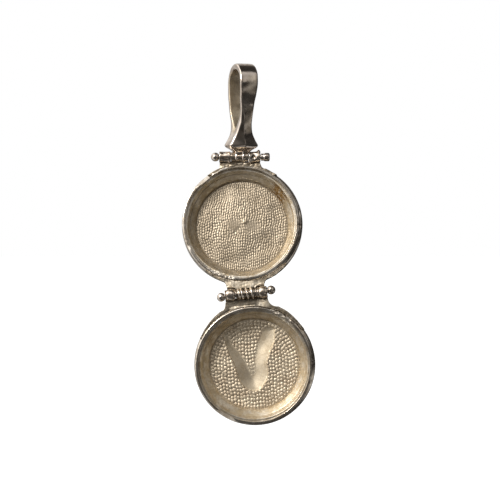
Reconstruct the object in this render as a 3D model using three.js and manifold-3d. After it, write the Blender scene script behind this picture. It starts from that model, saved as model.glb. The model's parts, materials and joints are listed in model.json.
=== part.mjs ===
// A round hinged locket hanging open from its bail: two shallow cases with pebbled floors, joined rim to rim
// by a hinge with a ball-ended pin, and hung by a second such hinge from a keeled loop bail.
// Millimetres, +Z up. The open cases look along -Y. The origin is where a chain bears inside the bail's crown.
import * as THREE from 'three';
import { mergeVertices } from 'three/addons/utils/BufferGeometryUtils.js';
import Module from 'manifold-3d';

const wasm = await Module();
wasm.setup();

// Case sizes
const CASE_RADIUS = 12.6;
const RIM_INSET = 0.5;
const RIM_WIDTH = 0.5;
const RIM_GAP = 0.1;
const LEDGE_DEPTH = 0.9;
const LEDGE_WIDTH = 0.4;
const WALL_DRAFT = 1.2;
const COVE_RADIUS = 0.6;
const INNER_DEPTH = 3.4;
const FLOOR_THICKNESS = 0.7;
const FLOOR_SEAT_WIDTH = 0.8;
const BACK_BORDER = 0.7;
const NICK_ANGLE = THREE.MathUtils.degToRad(130);
const NICK_RADIUS = 8;
const NICK_DEPTH = 0.35;

// Hinge sizes
const KNUCKLE_RADIUS = 1.15;
const KNUCKLE_EDGE_RADIUS = 0.3;
const PIN_RADIUS = 0.5;
const PIN_PLAY = 0.3;
const PIN_LEAN_SHARE = 0.85;
const SWING_GAP = 0.2;
const SOLDER_GAP = 0.03;
const LUG_THICKNESS = 1.5;
const LUG_SEAT_DROP = 0.75;
const LUG_ROOT_DEPTH = 2.0;
const BALL_RADIUS = 0.93;
const BALL_SEAT = 0.7;
const BALL_SOCKET_DEPTH = 1.0;
const BALL_GAP = 0.12;

// Hinge between the bail and the upper case
const BAIL_HINGE_STANDOFF = 1.5;
const BAIL_HINGE_SHIFT = -0.3;
const BAIL_KNUCKLE_LENGTH = 3.1;
const COLLAR_HEIGHT = 0.15;
const BAIL_HINGE_OPENING = 3.8;
const BAIL_HINGE_KNUCKLE_LENGTH = 2.4;
const BAIL_HINGE_LUG_WIDTH = 8.4;
const BAIL_HINGE_LUG_RISE = 0.05;
const BAIL_HINGE_LUG_SHOULDER = [0.4, 0.62];
const PIN_CAP_LENGTH = 1.85;
const PIN_CAP_RADIUS = 0.9;
const PIN_CAP_NECK_RADIUS = 0.76;
const PIN_CAP_NECK_LENGTH = 0.7;

// Hinge between the two cases
const CASE_HINGE_STANDOFF = 2.25;
const CASE_HINGE_SKEW = THREE.MathUtils.degToRad(5.15);
const CASE_HINGE_SHIFT = -0.5;
const CASE_KNUCKLE_LENGTH = 2.1;
const CASE_KNUCKLE_GAP = 0.35;
const RIBBED_KNUCKLE_LENGTH = 3.9;
const RIB_COUNT = 4;
const RIB_HEIGHT = 0.2;
const RIB_CREST = [0.3, 0.7];
const UPPER_LUG_WIDTH = 7.8;
const UPPER_LUG_RISE = 0.25;
const UPPER_LUG_SHOULDER = [0.4, 0.75];
const LOWER_LUG_WIDTH = 8.8;
const LOWER_LUG_RISE = 0.55;
const LOWER_LUG_SHOULDER = [0.48, 1.05];
const UPPER_CASE_TILT = THREE.MathUtils.degToRad(10);

// Bail sizes
const BAIL_LENGTH = 18.23;
const BAIL_YAW = THREE.MathUtils.degToRad(22);
const CASE_SIDE_SHIFT = 0.2;
const CROWN_RADIUS = 3.85;
const CROWN_THICKNESS = 1.35;
const CROWN_LEAN = 0.45;
const STRAP_THICKNESS = 0.9;
const CROWN_HALF_WIDTH = 1.95;
const WAIST_HALF_WIDTH = 1.34;
const WAIST_DROP = 9.6;
const OPENING_HEIGHT = 12.1;
const OPENING_FOOT_HEIGHT = 4;
const OPENING_FOOT_POWER = 2.5;
const STRAP_END_RISE = 1.2;
const TAPER_DROP = 7.4;
const NECK_DROP = 14.4;
const NECK_HALF_DEPTH = 2.0;
const FLARE_POWER = 2.5;
const FOOT_HALF_WIDTH = 3.2;
const FOOT_EDGE = 0.4;
const FOOT_RISE = 2.1;
const TONGUE_HALF_WIDTH = 1.4;
const TONGUE_HALF_DEPTH = 1.0;
const TONGUE_TUCK = 0.15;
const CORNER_POWER = 4.5;
const KEEL_HEIGHT = 0.5;

// The hollow pressed into the lower floor: two blunt arms that rise from a round bowl
const RELIEF_DEPTH = 0.8;
const RELIEF_BEVEL = 0.3;
const BOWL_RADIUS = 2.65;
const BOWL_CENTRE = [-0.45, -2.9];
const ARM_TIP_RADIUS = 0.65;
const LEFT_ARM = { tip: [-5.4, 5.9], outerBow: [-5.1, 2.2], outerRoot: [-4.1, -0.9], innerBow: [-3.2, 2.4] };
const RIGHT_ARM = { tip: [3.95, 6.75], outerBow: [4.7, 3.6], outerRoot: [3.0, 1.6], innerBow: [2.2, 4.2] };
const RIGHT_WAIST = [2.6, -0.9];
const NOTCH = { left: [-1.5, 0.2], foot: [-0.45, -2.6], right: [0.05, 1.2] };

// Facets round each turned form
const CASE_FACETS = 56;
const KNUCKLE_FACETS = 20;
const BALL_FACETS = 14;

// Sizes that follow from those above
const rimFace = RIM_GAP / 2;
const rimOuter = CASE_RADIUS - RIM_INSET;
const rimInner = rimOuter - RIM_WIDTH;
const ledgeInner = rimInner - LEDGE_WIDTH;
const floorEdge = ledgeInner - WALL_DRAFT - COVE_RADIUS;
const floorFace = rimFace + INNER_DEPTH;
const backFace = floorFace + FLOOR_THICKNESS;
const seatRadius = floorEdge + FLOOR_SEAT_WIDTH;
const bailHingeReach = CASE_RADIUS + BAIL_HINGE_STANDOFF;
const caseHingeReach = CASE_RADIUS + CASE_HINGE_STANDOFF;
const boreRadius = PIN_RADIUS + PIN_PLAY;
const bailHingeSpan = BAIL_HINGE_OPENING / 2 + BAIL_HINGE_KNUCKLE_LENGTH;
const caseHingeOpening = RIBBED_KNUCKLE_LENGTH + 2 * CASE_KNUCKLE_GAP;
const caseHingeSpan = caseHingeOpening / 2 + CASE_KNUCKLE_LENGTH;
// The pin leans across its bores, by a share of what its play allows.
const pinLean = Math.asin((PIN_LEAN_SHARE * PIN_PLAY) / caseHingeSpan);

const materials = {
  polished: new THREE.MeshStandardMaterial({ color: 0x9c948a, roughness: 0.28, metalness: 1 }),
  matte: new THREE.MeshStandardMaterial({ color: 0xb9ab8f, roughness: 0.5, metalness: 1 }),
  pin: new THREE.MeshStandardMaterial({ color: 0x8a827a, roughness: 0.22, metalness: 1 }),
};

// A closed geometry as a solid that can be joined and cut.
function solidOf(geometry) {
  const bare = geometry.index ? geometry.toNonIndexed() : geometry.clone();
  bare.deleteAttribute('normal');
  bare.deleteAttribute('uv');
  const merged = mergeVertices(bare, 1e-5);
  return new wasm.Manifold(new wasm.Mesh({
    numProp: 3,
    vertProperties: merged.attributes.position.array,
    triVerts: new Uint32Array(merged.index.array),
  }));
}

function geometryOf(solid) {
  const { vertProperties, triVerts } = solid.getMesh();
  const geometry = new THREE.BufferGeometry();
  geometry.setAttribute('position', new THREE.BufferAttribute(vertProperties, 3));
  geometry.setIndex(new THREE.BufferAttribute(triVerts, 1));
  const faceted = geometry.toNonIndexed();
  faceted.computeVertexNormals();
  return faceted;
}

function piece(name, solid, material) {
  const mesh = new THREE.Mesh(geometryOf(solid), material);
  mesh.name = name;
  return mesh;
}

// Revolves a closed profile of (radius, height) points about Y.
function revolve(points, facets) {
  return solidOf(new THREE.LatheGeometry(points, facets));
}

// The same, with the axis laid along X.
function revolveAlongX(points, facets) {
  return solidOf(new THREE.LatheGeometry(points, facets).rotateZ(-Math.PI / 2));
}

// A plain round bar along X, between two stations.
function bar(radius, from, to, facets = KNUCKLE_FACETS) {
  const geometry = new THREE.CylinderGeometry(radius, radius, to - from, facets);
  return solidOf(geometry.rotateZ(-Math.PI / 2).translate((from + to) / 2, 0, 0));
}

// An outline in X and Z, extruded from one depth along Y to another.
function slab(shape, from, to, options = {}) {
  const geometry = new THREE.ExtrudeGeometry(shape, { depth: to - from, bevelEnabled: false, ...options });
  return solidOf(geometry.rotateX(Math.PI / 2).translate(0, to, 0));
}

// The outer side of a case's wall, from the rim to the back: a bulge, then a rounded back edge.
function bandOutside(path, offset = 0) {
  const backEdge = seatRadius + BACK_BORDER + offset;
  const bulge = CASE_RADIUS + offset;
  path.lineTo(rimOuter + offset, rimFace);
  path.quadraticCurveTo(bulge, rimFace + RIM_INSET, bulge, backFace / 2);
  path.quadraticCurveTo(bulge, backFace, backEdge, backFace);
  return path;
}

// The side wall: rim, closing ledge, drafted inner wall, cove, and the rebate that holds the floor.
function caseBand(nickAngle) {
  const path = new THREE.Path();
  const coveTop = floorFace - COVE_RADIUS;
  path.moveTo(floorEdge, floorFace);
  path.quadraticCurveTo(floorEdge + COVE_RADIUS / 4, coveTop, floorEdge + COVE_RADIUS, coveTop - COVE_RADIUS);
  path.lineTo(ledgeInner, rimFace + LEDGE_DEPTH);
  path.lineTo(rimInner, rimFace + LEDGE_DEPTH);
  path.lineTo(rimInner, rimFace);
  bandOutside(path);
  path.lineTo(seatRadius, backFace);
  path.lineTo(seatRadius, floorFace);
  path.lineTo(floorEdge, floorFace);
  return revolve(path.getPoints(5), CASE_FACETS).subtract(nailNick(nickAngle));
}

// The shallow facet filed off a rim's outer edge, where a nail parts the cases.
function nailNick(angle) {
  const reach = rimOuter + (NICK_RADIUS - NICK_DEPTH) * Math.SQRT1_2;
  const forward = rimFace - (NICK_RADIUS - NICK_DEPTH) * Math.SQRT1_2;
  const ball = new THREE.SphereGeometry(NICK_RADIUS, CASE_FACETS, CASE_FACETS / 2);
  return solidOf(ball.translate(reach * Math.cos(angle), forward, reach * Math.sin(angle)));
}

// The room that a case takes up, with the gap that solder fills, to cut lugs to its wall.
function caseEnvelope() {
  const path = new THREE.Path();
  path.moveTo(0, rimFace - LUG_THICKNESS);
  path.lineTo(rimOuter + SOLDER_GAP, rimFace - LUG_THICKNESS);
  bandOutside(path, SOLDER_GAP);
  path.lineTo(0, backFace);
  return revolve(path.getPoints(5), CASE_FACETS);
}

function floorPlate() {
  const radius = seatRadius - SOLDER_GAP;
  const front = floorFace + SOLDER_GAP;
  const corners = [[0, front], [radius, front], [radius, backFace], [0, backFace]];
  return revolve(corners.map(([r, y]) => new THREE.Vector2(r, y)), CASE_FACETS);
}

// The outline of the pressed hollow: the left arm, the bowl, the right arm, and the notch between the arms.
function reliefOutline() {
  const shape = new THREE.Shape();
  const [bowlX, bowlZ] = BOWL_CENTRE;
  const bowlFrom = 1.08 * Math.PI;
  const bowlTo = 1.84 * Math.PI;
  const besideBowl = 1.06 * BOWL_RADIUS;
  const leftTipFrom = 0.15 * Math.PI;
  const atLeftTip = LEFT_ARM.tip.map((at, i) => at + ARM_TIP_RADIUS * [Math.cos, Math.sin][i](leftTipFrom));
  shape.absarc(...LEFT_ARM.tip, ARM_TIP_RADIUS, leftTipFrom, 1.05 * Math.PI, false);
  shape.quadraticCurveTo(...LEFT_ARM.outerBow, ...LEFT_ARM.outerRoot);
  shape.quadraticCurveTo(bowlX - besideBowl, bowlZ, bowlX + BOWL_RADIUS * Math.cos(bowlFrom),
    bowlZ + BOWL_RADIUS * Math.sin(bowlFrom));
  shape.absarc(bowlX, bowlZ, BOWL_RADIUS, bowlFrom, bowlTo, false);
  shape.quadraticCurveTo(bowlX + besideBowl, bowlZ, ...RIGHT_WAIST);
  shape.lineTo(...RIGHT_ARM.outerRoot);
  shape.quadraticCurveTo(...RIGHT_ARM.outerBow, RIGHT_ARM.tip[0] + ARM_TIP_RADIUS, RIGHT_ARM.tip[1]);
  shape.absarc(...RIGHT_ARM.tip, ARM_TIP_RADIUS, 0, 0.9 * Math.PI, false);
  shape.quadraticCurveTo(...RIGHT_ARM.innerBow, ...NOTCH.right);
  shape.lineTo(...NOTCH.foot);
  shape.lineTo(...NOTCH.left);
  shape.quadraticCurveTo(...LEFT_ARM.innerBow, ...atLeftTip);
  return shape;
}

// The hollow or its boss: the outline grown by a margin, with a bevelled edge at either end.
function reliefSlab(margin, from, to) {
  return slab(reliefOutline(), from + RELIEF_BEVEL, to - RELIEF_BEVEL, {
    bevelEnabled: true,
    bevelThickness: RELIEF_BEVEL,
    bevelSize: RELIEF_BEVEL,
    bevelOffset: margin - RELIEF_BEVEL,
    bevelSegments: 2,
    curveSegments: 6,
  });
}

// The lower floor: the plate with the hollow pressed in from inside and standing out as a boss behind.
function reliefFloorPlate() {
  const boss = reliefSlab(FLOOR_THICKNESS / 2, floorFace + RELIEF_BEVEL, backFace + RELIEF_DEPTH);
  const hollow = reliefSlab(0, floorFace - RELIEF_DEPTH, floorFace + RELIEF_DEPTH);
  return floorPlate().add(boss).subtract(hollow);
}

// A hinge lug in its hinge's own frame: the axis is X, and the case's centre lies at caseX, a reach below.
// seats are the stretches that its own knuckles lie on, and swings those where its partner turns.
// Its shoulders rise past the case's outline and run out between two angles from the hinge's direction.
function hingeLug(width, [caseX, reach], rise, [from, to], seats, swings) {
  const half = width / 2;
  const onCase = (angle, radius) => [caseX + radius * Math.sin(angle), -reach + radius * Math.cos(angle)];
  const middle = (from + to) / 2;
  const bowed = (CASE_RADIUS + rise / 2) / Math.cos(middle - from);
  const shape = new THREE.Shape();
  shape.moveTo(-half, -LUG_SEAT_DROP);
  const [leftX, leftZ] = onCase(-from, CASE_RADIUS + rise);
  shape.quadraticCurveTo(-half, leftZ, leftX, leftZ);
  shape.quadraticCurveTo(...onCase(-middle, bowed), ...onCase(-to, CASE_RADIUS));
  shape.lineTo(caseX, -reach + CASE_RADIUS - LUG_ROOT_DEPTH);
  shape.lineTo(...onCase(to, CASE_RADIUS));
  const [rightX, rightZ] = onCase(from, CASE_RADIUS + rise);
  shape.quadraticCurveTo(...onCase(middle, bowed), rightX, rightZ);
  shape.quadraticCurveTo(half, rightZ, half, -LUG_SEAT_DROP);
  shape.closePath();
  let lug = slab(shape, rimFace, rimFace + LUG_THICKNESS, { curveSegments: 6 });
  lug = lug.subtract(caseEnvelope().translate([caseX, 0, -reach]));
  for (const stretch of seats) lug = lug.subtract(bar(KNUCKLE_RADIUS + SOLDER_GAP, ...stretch));
  for (const stretch of swings) lug = lug.subtract(bar(KNUCKLE_RADIUS + SWING_GAP, ...stretch));
  return lug;
}

// A knuckle tube with rounded ends, lying along X from one station to another.
function knuckle(from, to) {
  const edge = KNUCKLE_EDGE_RADIUS;
  const path = new THREE.Path();
  path.moveTo(boreRadius, from);
  path.lineTo(KNUCKLE_RADIUS - edge, from);
  path.quadraticCurveTo(KNUCKLE_RADIUS, from, KNUCKLE_RADIUS, from + edge);
  path.lineTo(KNUCKLE_RADIUS, to - edge);
  path.quadraticCurveTo(KNUCKLE_RADIUS, to, KNUCKLE_RADIUS - edge, to);
  path.lineTo(boreRadius, to);
  path.lineTo(boreRadius, from);
  return revolveAlongX(path.getPoints(3), KNUCKLE_FACETS);
}

// A knuckle tube with raised ribs, as a ringed barrel.
function ribbedKnuckle(length, ribs) {
  const path = new THREE.Path();
  const pitch = length / ribs;
  const root = KNUCKLE_RADIUS - RIB_HEIGHT;
  path.moveTo(boreRadius, -length / 2);
  path.lineTo(root, -length / 2);
  for (let i = 0; i < ribs; i++) {
    const start = -length / 2 + i * pitch;
    for (const share of RIB_CREST) path.lineTo(KNUCKLE_RADIUS, start + share * pitch);
    path.lineTo(root, start + pitch);
  }
  path.lineTo(boreRadius, length / 2);
  path.lineTo(boreRadius, -length / 2);
  return revolveAlongX(path.getPoints(1), KNUCKLE_FACETS);
}

// A turned head for the end of a pin, whose seat is at x and which points to the side given, -1 or 1.
function pinHead(path, x, side) {
  const geometry = new THREE.LatheGeometry(path.getPoints(4), BALL_FACETS).rotateZ(-side * Math.PI / 2);
  return solidOf(geometry.translate(x, 0, 0));
}

// The socket that takes the pin's end, at the start of a head's profile.
function socketPath(seatRadiusOfHead) {
  const path = new THREE.Path();
  path.moveTo(0, BALL_SOCKET_DEPTH + SOLDER_GAP);
  path.lineTo(PIN_RADIUS + SOLDER_GAP, BALL_SOCKET_DEPTH + SOLDER_GAP);
  path.lineTo(PIN_RADIUS + SOLDER_GAP, 0);
  path.lineTo(seatRadiusOfHead, 0);
  return path;
}

function ballHead(x, side) {
  const path = socketPath(Math.sqrt(BALL_RADIUS ** 2 - BALL_SEAT ** 2));
  path.absarc(0, BALL_SEAT, BALL_RADIUS, -Math.asin(BALL_SEAT / BALL_RADIUS), Math.PI / 2, false);
  return pinHead(path, x, side);
}

// The thimble-shaped cap on the right end of the bail's pin.
function capHead(x, side) {
  const path = socketPath(PIN_CAP_NECK_RADIUS);
  path.lineTo(PIN_CAP_NECK_RADIUS, PIN_CAP_NECK_LENGTH);
  path.quadraticCurveTo(PIN_CAP_RADIUS, PIN_CAP_NECK_LENGTH, PIN_CAP_RADIUS, 0.75 * PIN_CAP_LENGTH);
  path.quadraticCurveTo(PIN_CAP_RADIUS, PIN_CAP_LENGTH, 0, PIN_CAP_LENGTH);
  return pinHead(path, x, side);
}

const mix = THREE.MathUtils.lerp;
const smooth = (x, from, to) => THREE.MathUtils.smoothstep(x, from, to);

// The bail, worked out as drops below the point where the chain bears.
const crownDrop = CROWN_RADIUS - STRAP_THICKNESS;
const footDrop = BAIL_LENGTH - FOOT_RISE - FOOT_EDGE;
const tongueDrop = BAIL_LENGTH - KNUCKLE_RADIUS + TONGUE_TUCK;

// Half the bail's width at a drop: a broad crown, a narrow waist, a foot that flares late, then a tongue.
function bailHalfWidth(drop) {
  if (drop < WAIST_DROP) return mix(CROWN_HALF_WIDTH, WAIST_HALF_WIDTH, smooth(drop, crownDrop - STRAP_THICKNESS, WAIST_DROP));
  if (drop < footDrop) {
    return mix(WAIST_HALF_WIDTH, FOOT_HALF_WIDTH, ((drop - WAIST_DROP) / (footDrop - WAIST_DROP)) ** FLARE_POWER);
  }
  return mix(FOOT_HALF_WIDTH, TONGUE_HALF_WIDTH, smooth(drop, footDrop + FOOT_EDGE, tongueDrop));
}

// Half the bail's outer depth at a drop below the crown's centre.
function bailHalfDepth(drop) {
  if (drop > footDrop) {
    return mix(NECK_HALF_DEPTH, TONGUE_HALF_DEPTH, smooth(drop, footDrop + FOOT_EDGE, tongueDrop));
  }
  return mix(CROWN_RADIUS, NECK_HALF_DEPTH, smooth(drop, TAPER_DROP, NECK_DROP));
}

// Half the depth of the bail's opening at a drop below the crown's centre, closing to nothing at its foot.
function openingHalfDepth(drop) {
  const roundFrom = OPENING_HEIGHT - OPENING_FOOT_HEIGHT;
  const closing = Math.max(0, (drop - roundFrom) / OPENING_FOOT_HEIGHT);
  return (bailHalfDepth(drop) - STRAP_THICKNESS) * Math.sqrt(Math.max(0, 1 - closing ** OPENING_FOOT_POWER));
}

// Pairs of points (depth, drop) on the opening and on the outside, from the crown's top down the rear half.
function bailStations() {
  const stations = [];
  const crownSteps = 7;
  const strapSteps = 8;
  const footSteps = 11;
  const soleSteps = 3;
  for (let i = 0; i <= crownSteps; i++) {
    const angle = (i / crownSteps) * (Math.PI / 2);
    const [across, down] = [Math.sin(angle), Math.cos(angle)];
    stations.push([[crownDrop * across, crownDrop * (1 - down)],
      [CROWN_RADIUS * across, crownDrop - (crownDrop + CROWN_THICKNESS) * down]]);
  }
  const strapEnd = OPENING_HEIGHT - STRAP_END_RISE;
  for (let i = 1; i <= strapSteps; i++) {
    const drop = mix(crownDrop, strapEnd, i / strapSteps);
    stations.push([[openingHalfDepth(drop), drop], [bailHalfDepth(drop), drop]]);
  }
  const below = footSteps + soleSteps;
  for (let i = 1; i <= below; i++) {
    const inner = mix(strapEnd, OPENING_HEIGHT, Math.sin((i / below) * (Math.PI / 2)));
    const outer = i <= footSteps ? mix(strapEnd, tongueDrop, i / footSteps) : tongueDrop;
    const sole = i <= footSteps ? 1 : 1 - (i - footSteps) / soleSteps;
    stations.push([[openingHalfDepth(inner), inner], [bailHalfDepth(outer) * sole, outer]]);
  }
  return stations;
}

// The bail's loop and foot: a section with rounded corners carried round the opening, between the opening's
// outline and the outside, as wide as the bail is at each height, with a keel down the front.
function bailBody() {
  const rear = bailStations();
  const front = rear.slice(1, -1).reverse().map((pair) => pair.map(([depth, drop]) => [-depth, drop]));
  const stations = [...rear, ...front];
  const sides = 14;
  const square = (value) => Math.sign(value) * Math.abs(value) ** (2 / CORNER_POWER);
  const position = [];
  for (const [inner, outer] of stations) {
    for (let j = 0; j < sides; j++) {
      const angle = (j / sides) * 2 * Math.PI;
      const share = 0.5 - 0.5 * square(Math.cos(angle));
      const side = square(Math.sin(angle));
      const depth = mix(inner[0], outer[0], share);
      const drop = mix(inner[1], outer[1], share);
      const facesFront = depth < 0 ? share : 0;
      const ridge = KEEL_HEIGHT * smooth(drop, TAPER_DROP, WAIST_DROP) * (1 - smooth(drop, footDrop, tongueDrop));
      const lean = CROWN_LEAN * (1 - smooth(drop, 0, WAIST_DROP));
      position.push(side * bailHalfWidth(drop) + lean, depth - ridge * facesFront * (1 - Math.abs(side)), -drop);
    }
  }
  const index = [];
  const rings = stations.length;
  for (let i = 0; i < rings; i++) {
    for (let j = 0; j < sides; j++) {
      const [a, b] = [i * sides + j, i * sides + ((j + 1) % sides)];
      const [c, d] = [((i + 1) % rings) * sides + j, ((i + 1) % rings) * sides + ((j + 1) % sides)];
      index.push(a, c, b, b, c, d);
    }
  }
  const geometry = new THREE.BufferGeometry();
  geometry.setAttribute('position', new THREE.Float32BufferAttribute(position, 3));
  geometry.setIndex(index);
  return solidOf(geometry);
}

// The bail's own knuckle: a short barrel with a collar at each end.
function collaredKnuckle() {
  const half = BAIL_KNUCKLE_LENGTH / 2;
  const collar = BAIL_KNUCKLE_LENGTH / 4;
  const waist = KNUCKLE_RADIUS - COLLAR_HEIGHT;
  const corners = [[boreRadius, -half], [waist, -half], [KNUCKLE_RADIUS, -half + COLLAR_HEIGHT],
    [KNUCKLE_RADIUS, -half + collar], [waist, -half + collar + COLLAR_HEIGHT],
    [waist, half - collar - COLLAR_HEIGHT], [KNUCKLE_RADIUS, half - collar],
    [KNUCKLE_RADIUS, half - COLLAR_HEIGHT], [waist, half], [boreRadius, half], [boreRadius, -half]];
  return revolveAlongX(corners.map(([r, x]) => new THREE.Vector2(r, x)), KNUCKLE_FACETS);
}

// The bail: a loop that was set turned on its knuckle, whose bore follows the pin.
function bail() {
  const group = new THREE.Group();
  const saddle = bar(KNUCKLE_RADIUS + SOLDER_GAP, -CROWN_RADIUS, CROWN_RADIUS);
  const loop = bailBody().rotate([0, 0, THREE.MathUtils.radToDeg(BAIL_YAW)])
    .subtract(saddle.translate([0, 0, -BAIL_LENGTH]));
  const barrel = piece('bail_knuckle', collaredKnuckle(), materials.polished);
  barrel.position.set(BAIL_HINGE_SHIFT, 0, -BAIL_LENGTH);
  group.add(piece('bail_loop', loop, materials.polished), barrel);
  return group;
}

// The hinge that hangs the upper case from the bail, in a frame on its axis.
function bailHinge() {
  const group = new THREE.Group();
  group.position.x = BAIL_HINGE_SHIFT;
  const inner = BAIL_HINGE_OPENING / 2;
  const seats = [[-bailHingeSpan, -inner], [inner, bailHingeSpan]];
  const lug = hingeLug(BAIL_HINGE_LUG_WIDTH, [CASE_SIDE_SHIFT - BAIL_HINGE_SHIFT, bailHingeReach],
    BAIL_HINGE_LUG_RISE, BAIL_HINGE_LUG_SHOULDER, seats, [[-inner, inner]]);
  const headSeat = bailHingeSpan + BALL_GAP;
  const rodEnd = headSeat + BALL_SOCKET_DEPTH;
  group.add(
    piece('bail_hinge_lug', lug, materials.polished),
    piece('bail_hinge_knuckle_left', knuckle(...seats[0]), materials.polished),
    piece('bail_hinge_knuckle_right', knuckle(...seats[1]), materials.polished),
    piece('bail_pin', bar(PIN_RADIUS, -rodEnd, rodEnd, BALL_FACETS), materials.pin),
    piece('bail_pin_ball', ballHead(-headSeat, -1), materials.pin),
    piece('bail_pin_cap', capHead(headSeat, 1), materials.pin),
  );
  return group;
}

// The upper case's half of the case hinge, in a frame on its axis where the case is above.
function upperHingeHalf() {
  const turned = new THREE.Group();
  turned.rotation.y = Math.PI;
  const inner = caseHingeOpening / 2;
  const middle = [-RIBBED_KNUCKLE_LENGTH / 2, RIBBED_KNUCKLE_LENGTH / 2];
  const outer = caseHingeSpan + SWING_GAP;
  const clear = middle[1] + CASE_KNUCKLE_GAP / 2;
  const swings = [[-outer, -clear], [clear, outer]];
  const lug = hingeLug(UPPER_LUG_WIDTH, [CASE_HINGE_SHIFT, caseHingeReach], UPPER_LUG_RISE,
    UPPER_LUG_SHOULDER, [middle], swings);
  turned.add(
    piece('upper_case_lug', lug, materials.polished),
    piece('upper_case_knuckle', ribbedKnuckle(RIBBED_KNUCKLE_LENGTH, RIB_COUNT), materials.polished),
  );
  return turned;
}

// The ball-ended pin between the cases, which leans in its bores.
function casePin() {
  const pin = new THREE.Group();
  pin.rotation.y = -pinLean;
  const headSeat = caseHingeSpan + BALL_GAP;
  const rodEnd = headSeat + BALL_SOCKET_DEPTH;
  pin.add(
    piece('case_pin', bar(PIN_RADIUS, -rodEnd, rodEnd, BALL_FACETS), materials.pin),
    piece('case_pin_ball_left', ballHead(-headSeat, -1), materials.pin),
    piece('case_pin_ball_right', ballHead(headSeat, 1), materials.pin),
  );
  return pin;
}

// The lower case with its half of the hinge, in a frame on the hinge's axis. It is let down past flat.
function lowerCase() {
  const group = new THREE.Group();
  group.rotation.x = UPPER_CASE_TILT;
  const inner = caseHingeOpening / 2;
  const seats = [[-caseHingeSpan, -inner], [inner, caseHingeSpan]];
  const lug = hingeLug(LOWER_LUG_WIDTH, [-CASE_HINGE_SHIFT, caseHingeReach], LOWER_LUG_RISE,
    LOWER_LUG_SHOULDER, seats, [[-inner, inner]]);
  const shell = new THREE.Group();
  shell.position.set(-CASE_HINGE_SHIFT, 0, -caseHingeReach);
  shell.add(
    piece('lower_case_band', caseBand(CASE_HINGE_SKEW - NICK_ANGLE), materials.polished),
    piece('lower_case_floor', reliefFloorPlate(), materials.matte),
  );
  group.add(
    shell,
    piece('lower_case_lug', lug, materials.polished),
    piece('lower_case_knuckle_left', knuckle(...seats[0]), materials.polished),
    piece('lower_case_knuckle_right', knuckle(...seats[1]), materials.polished),
  );
  return group;
}

// Both cases and both hinges, in a frame on the bail pin's axis.
function cases() {
  const group = new THREE.Group();
  group.position.z = -BAIL_LENGTH;
  group.rotation.x = -UPPER_CASE_TILT;
  const shell = new THREE.Group();
  shell.position.set(CASE_SIDE_SHIFT, 0, -bailHingeReach);
  shell.add(
    piece('upper_case_band', caseBand(NICK_ANGLE), materials.polished),
    piece('upper_case_floor', floorPlate(), materials.matte),
  );
  // The case hinge sits a little way round the rim, square to the line between the cases' centres.
  const skewed = new THREE.Group();
  skewed.rotation.y = -CASE_HINGE_SKEW;
  const hinge = new THREE.Group();
  hinge.position.set(CASE_HINGE_SHIFT, 0, -caseHingeReach);
  hinge.add(upperHingeHalf(), casePin(), lowerCase());
  skewed.add(hinge);
  shell.add(skewed);
  group.add(bailHinge(), shell);
  return group;
}

const locket = new THREE.Group();
locket.add(bail(), cases());

export default locket;
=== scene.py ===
"""An open round locket on its bail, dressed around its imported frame.

Sizes are in millimetres. Places are in the locket's own frame: +X to the photograph's right, +Y away from
the camera and +Z up. Each sub-assembly is a class. Its surfaces are grids of points worked out in a frame
of the part's own, where across runs along the hinge, depth runs from the rim to the back and up is square
to both. In a hinge's frame, up points away from the case that hangs on it. A span is a pair of values
between which something fades.
"""

from __future__ import annotations

import json
import logging
import math
from dataclasses import dataclass, field
from enum import Enum

import bmesh
import bpy
import numpy as np
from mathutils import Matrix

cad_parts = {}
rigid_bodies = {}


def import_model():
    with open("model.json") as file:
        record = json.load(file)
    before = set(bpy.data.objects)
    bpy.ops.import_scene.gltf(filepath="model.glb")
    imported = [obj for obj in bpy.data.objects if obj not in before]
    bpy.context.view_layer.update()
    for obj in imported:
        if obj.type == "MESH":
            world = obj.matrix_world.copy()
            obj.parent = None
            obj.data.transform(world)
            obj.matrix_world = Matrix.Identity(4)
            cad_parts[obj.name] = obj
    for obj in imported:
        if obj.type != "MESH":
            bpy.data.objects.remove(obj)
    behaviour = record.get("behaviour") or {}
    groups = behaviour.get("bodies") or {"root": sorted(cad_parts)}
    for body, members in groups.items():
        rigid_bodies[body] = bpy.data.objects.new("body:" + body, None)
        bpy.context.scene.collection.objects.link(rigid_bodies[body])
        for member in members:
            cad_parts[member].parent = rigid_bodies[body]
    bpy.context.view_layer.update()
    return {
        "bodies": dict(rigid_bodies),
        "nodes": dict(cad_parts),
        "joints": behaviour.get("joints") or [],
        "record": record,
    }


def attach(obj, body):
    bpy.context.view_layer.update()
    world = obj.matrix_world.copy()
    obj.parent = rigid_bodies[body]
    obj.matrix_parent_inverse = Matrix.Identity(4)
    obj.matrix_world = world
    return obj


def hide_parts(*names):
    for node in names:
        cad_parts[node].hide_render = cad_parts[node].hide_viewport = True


Array = np.ndarray
Colour = tuple[float, float, float]
Span = tuple[float, float]
Section = list[tuple[float, float, float]]
Socket = bpy.types.NodeSocket

MM = 0.001
ACROSS, DEPTH, UP = range(3)
BORE = 0.8
WIRE = 0.5
WARM_WHITE = (1.0, 0.97, 0.93)
WHITE = (1.0, 1.0, 1.0)
LOG = logging.getLogger("locket")


class Pebbles(Enum):
    """How the punched pebbles of a floor are laid out."""

    COLUMNS = "wavy upright columns"
    RINGS = "rings round the middle, by the wall"


class Slot(Enum):
    """The record's material slots."""

    POLISHED = "polished_metal"
    MATTE = "matte_metal"
    PIN = "pin_metal"


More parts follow.
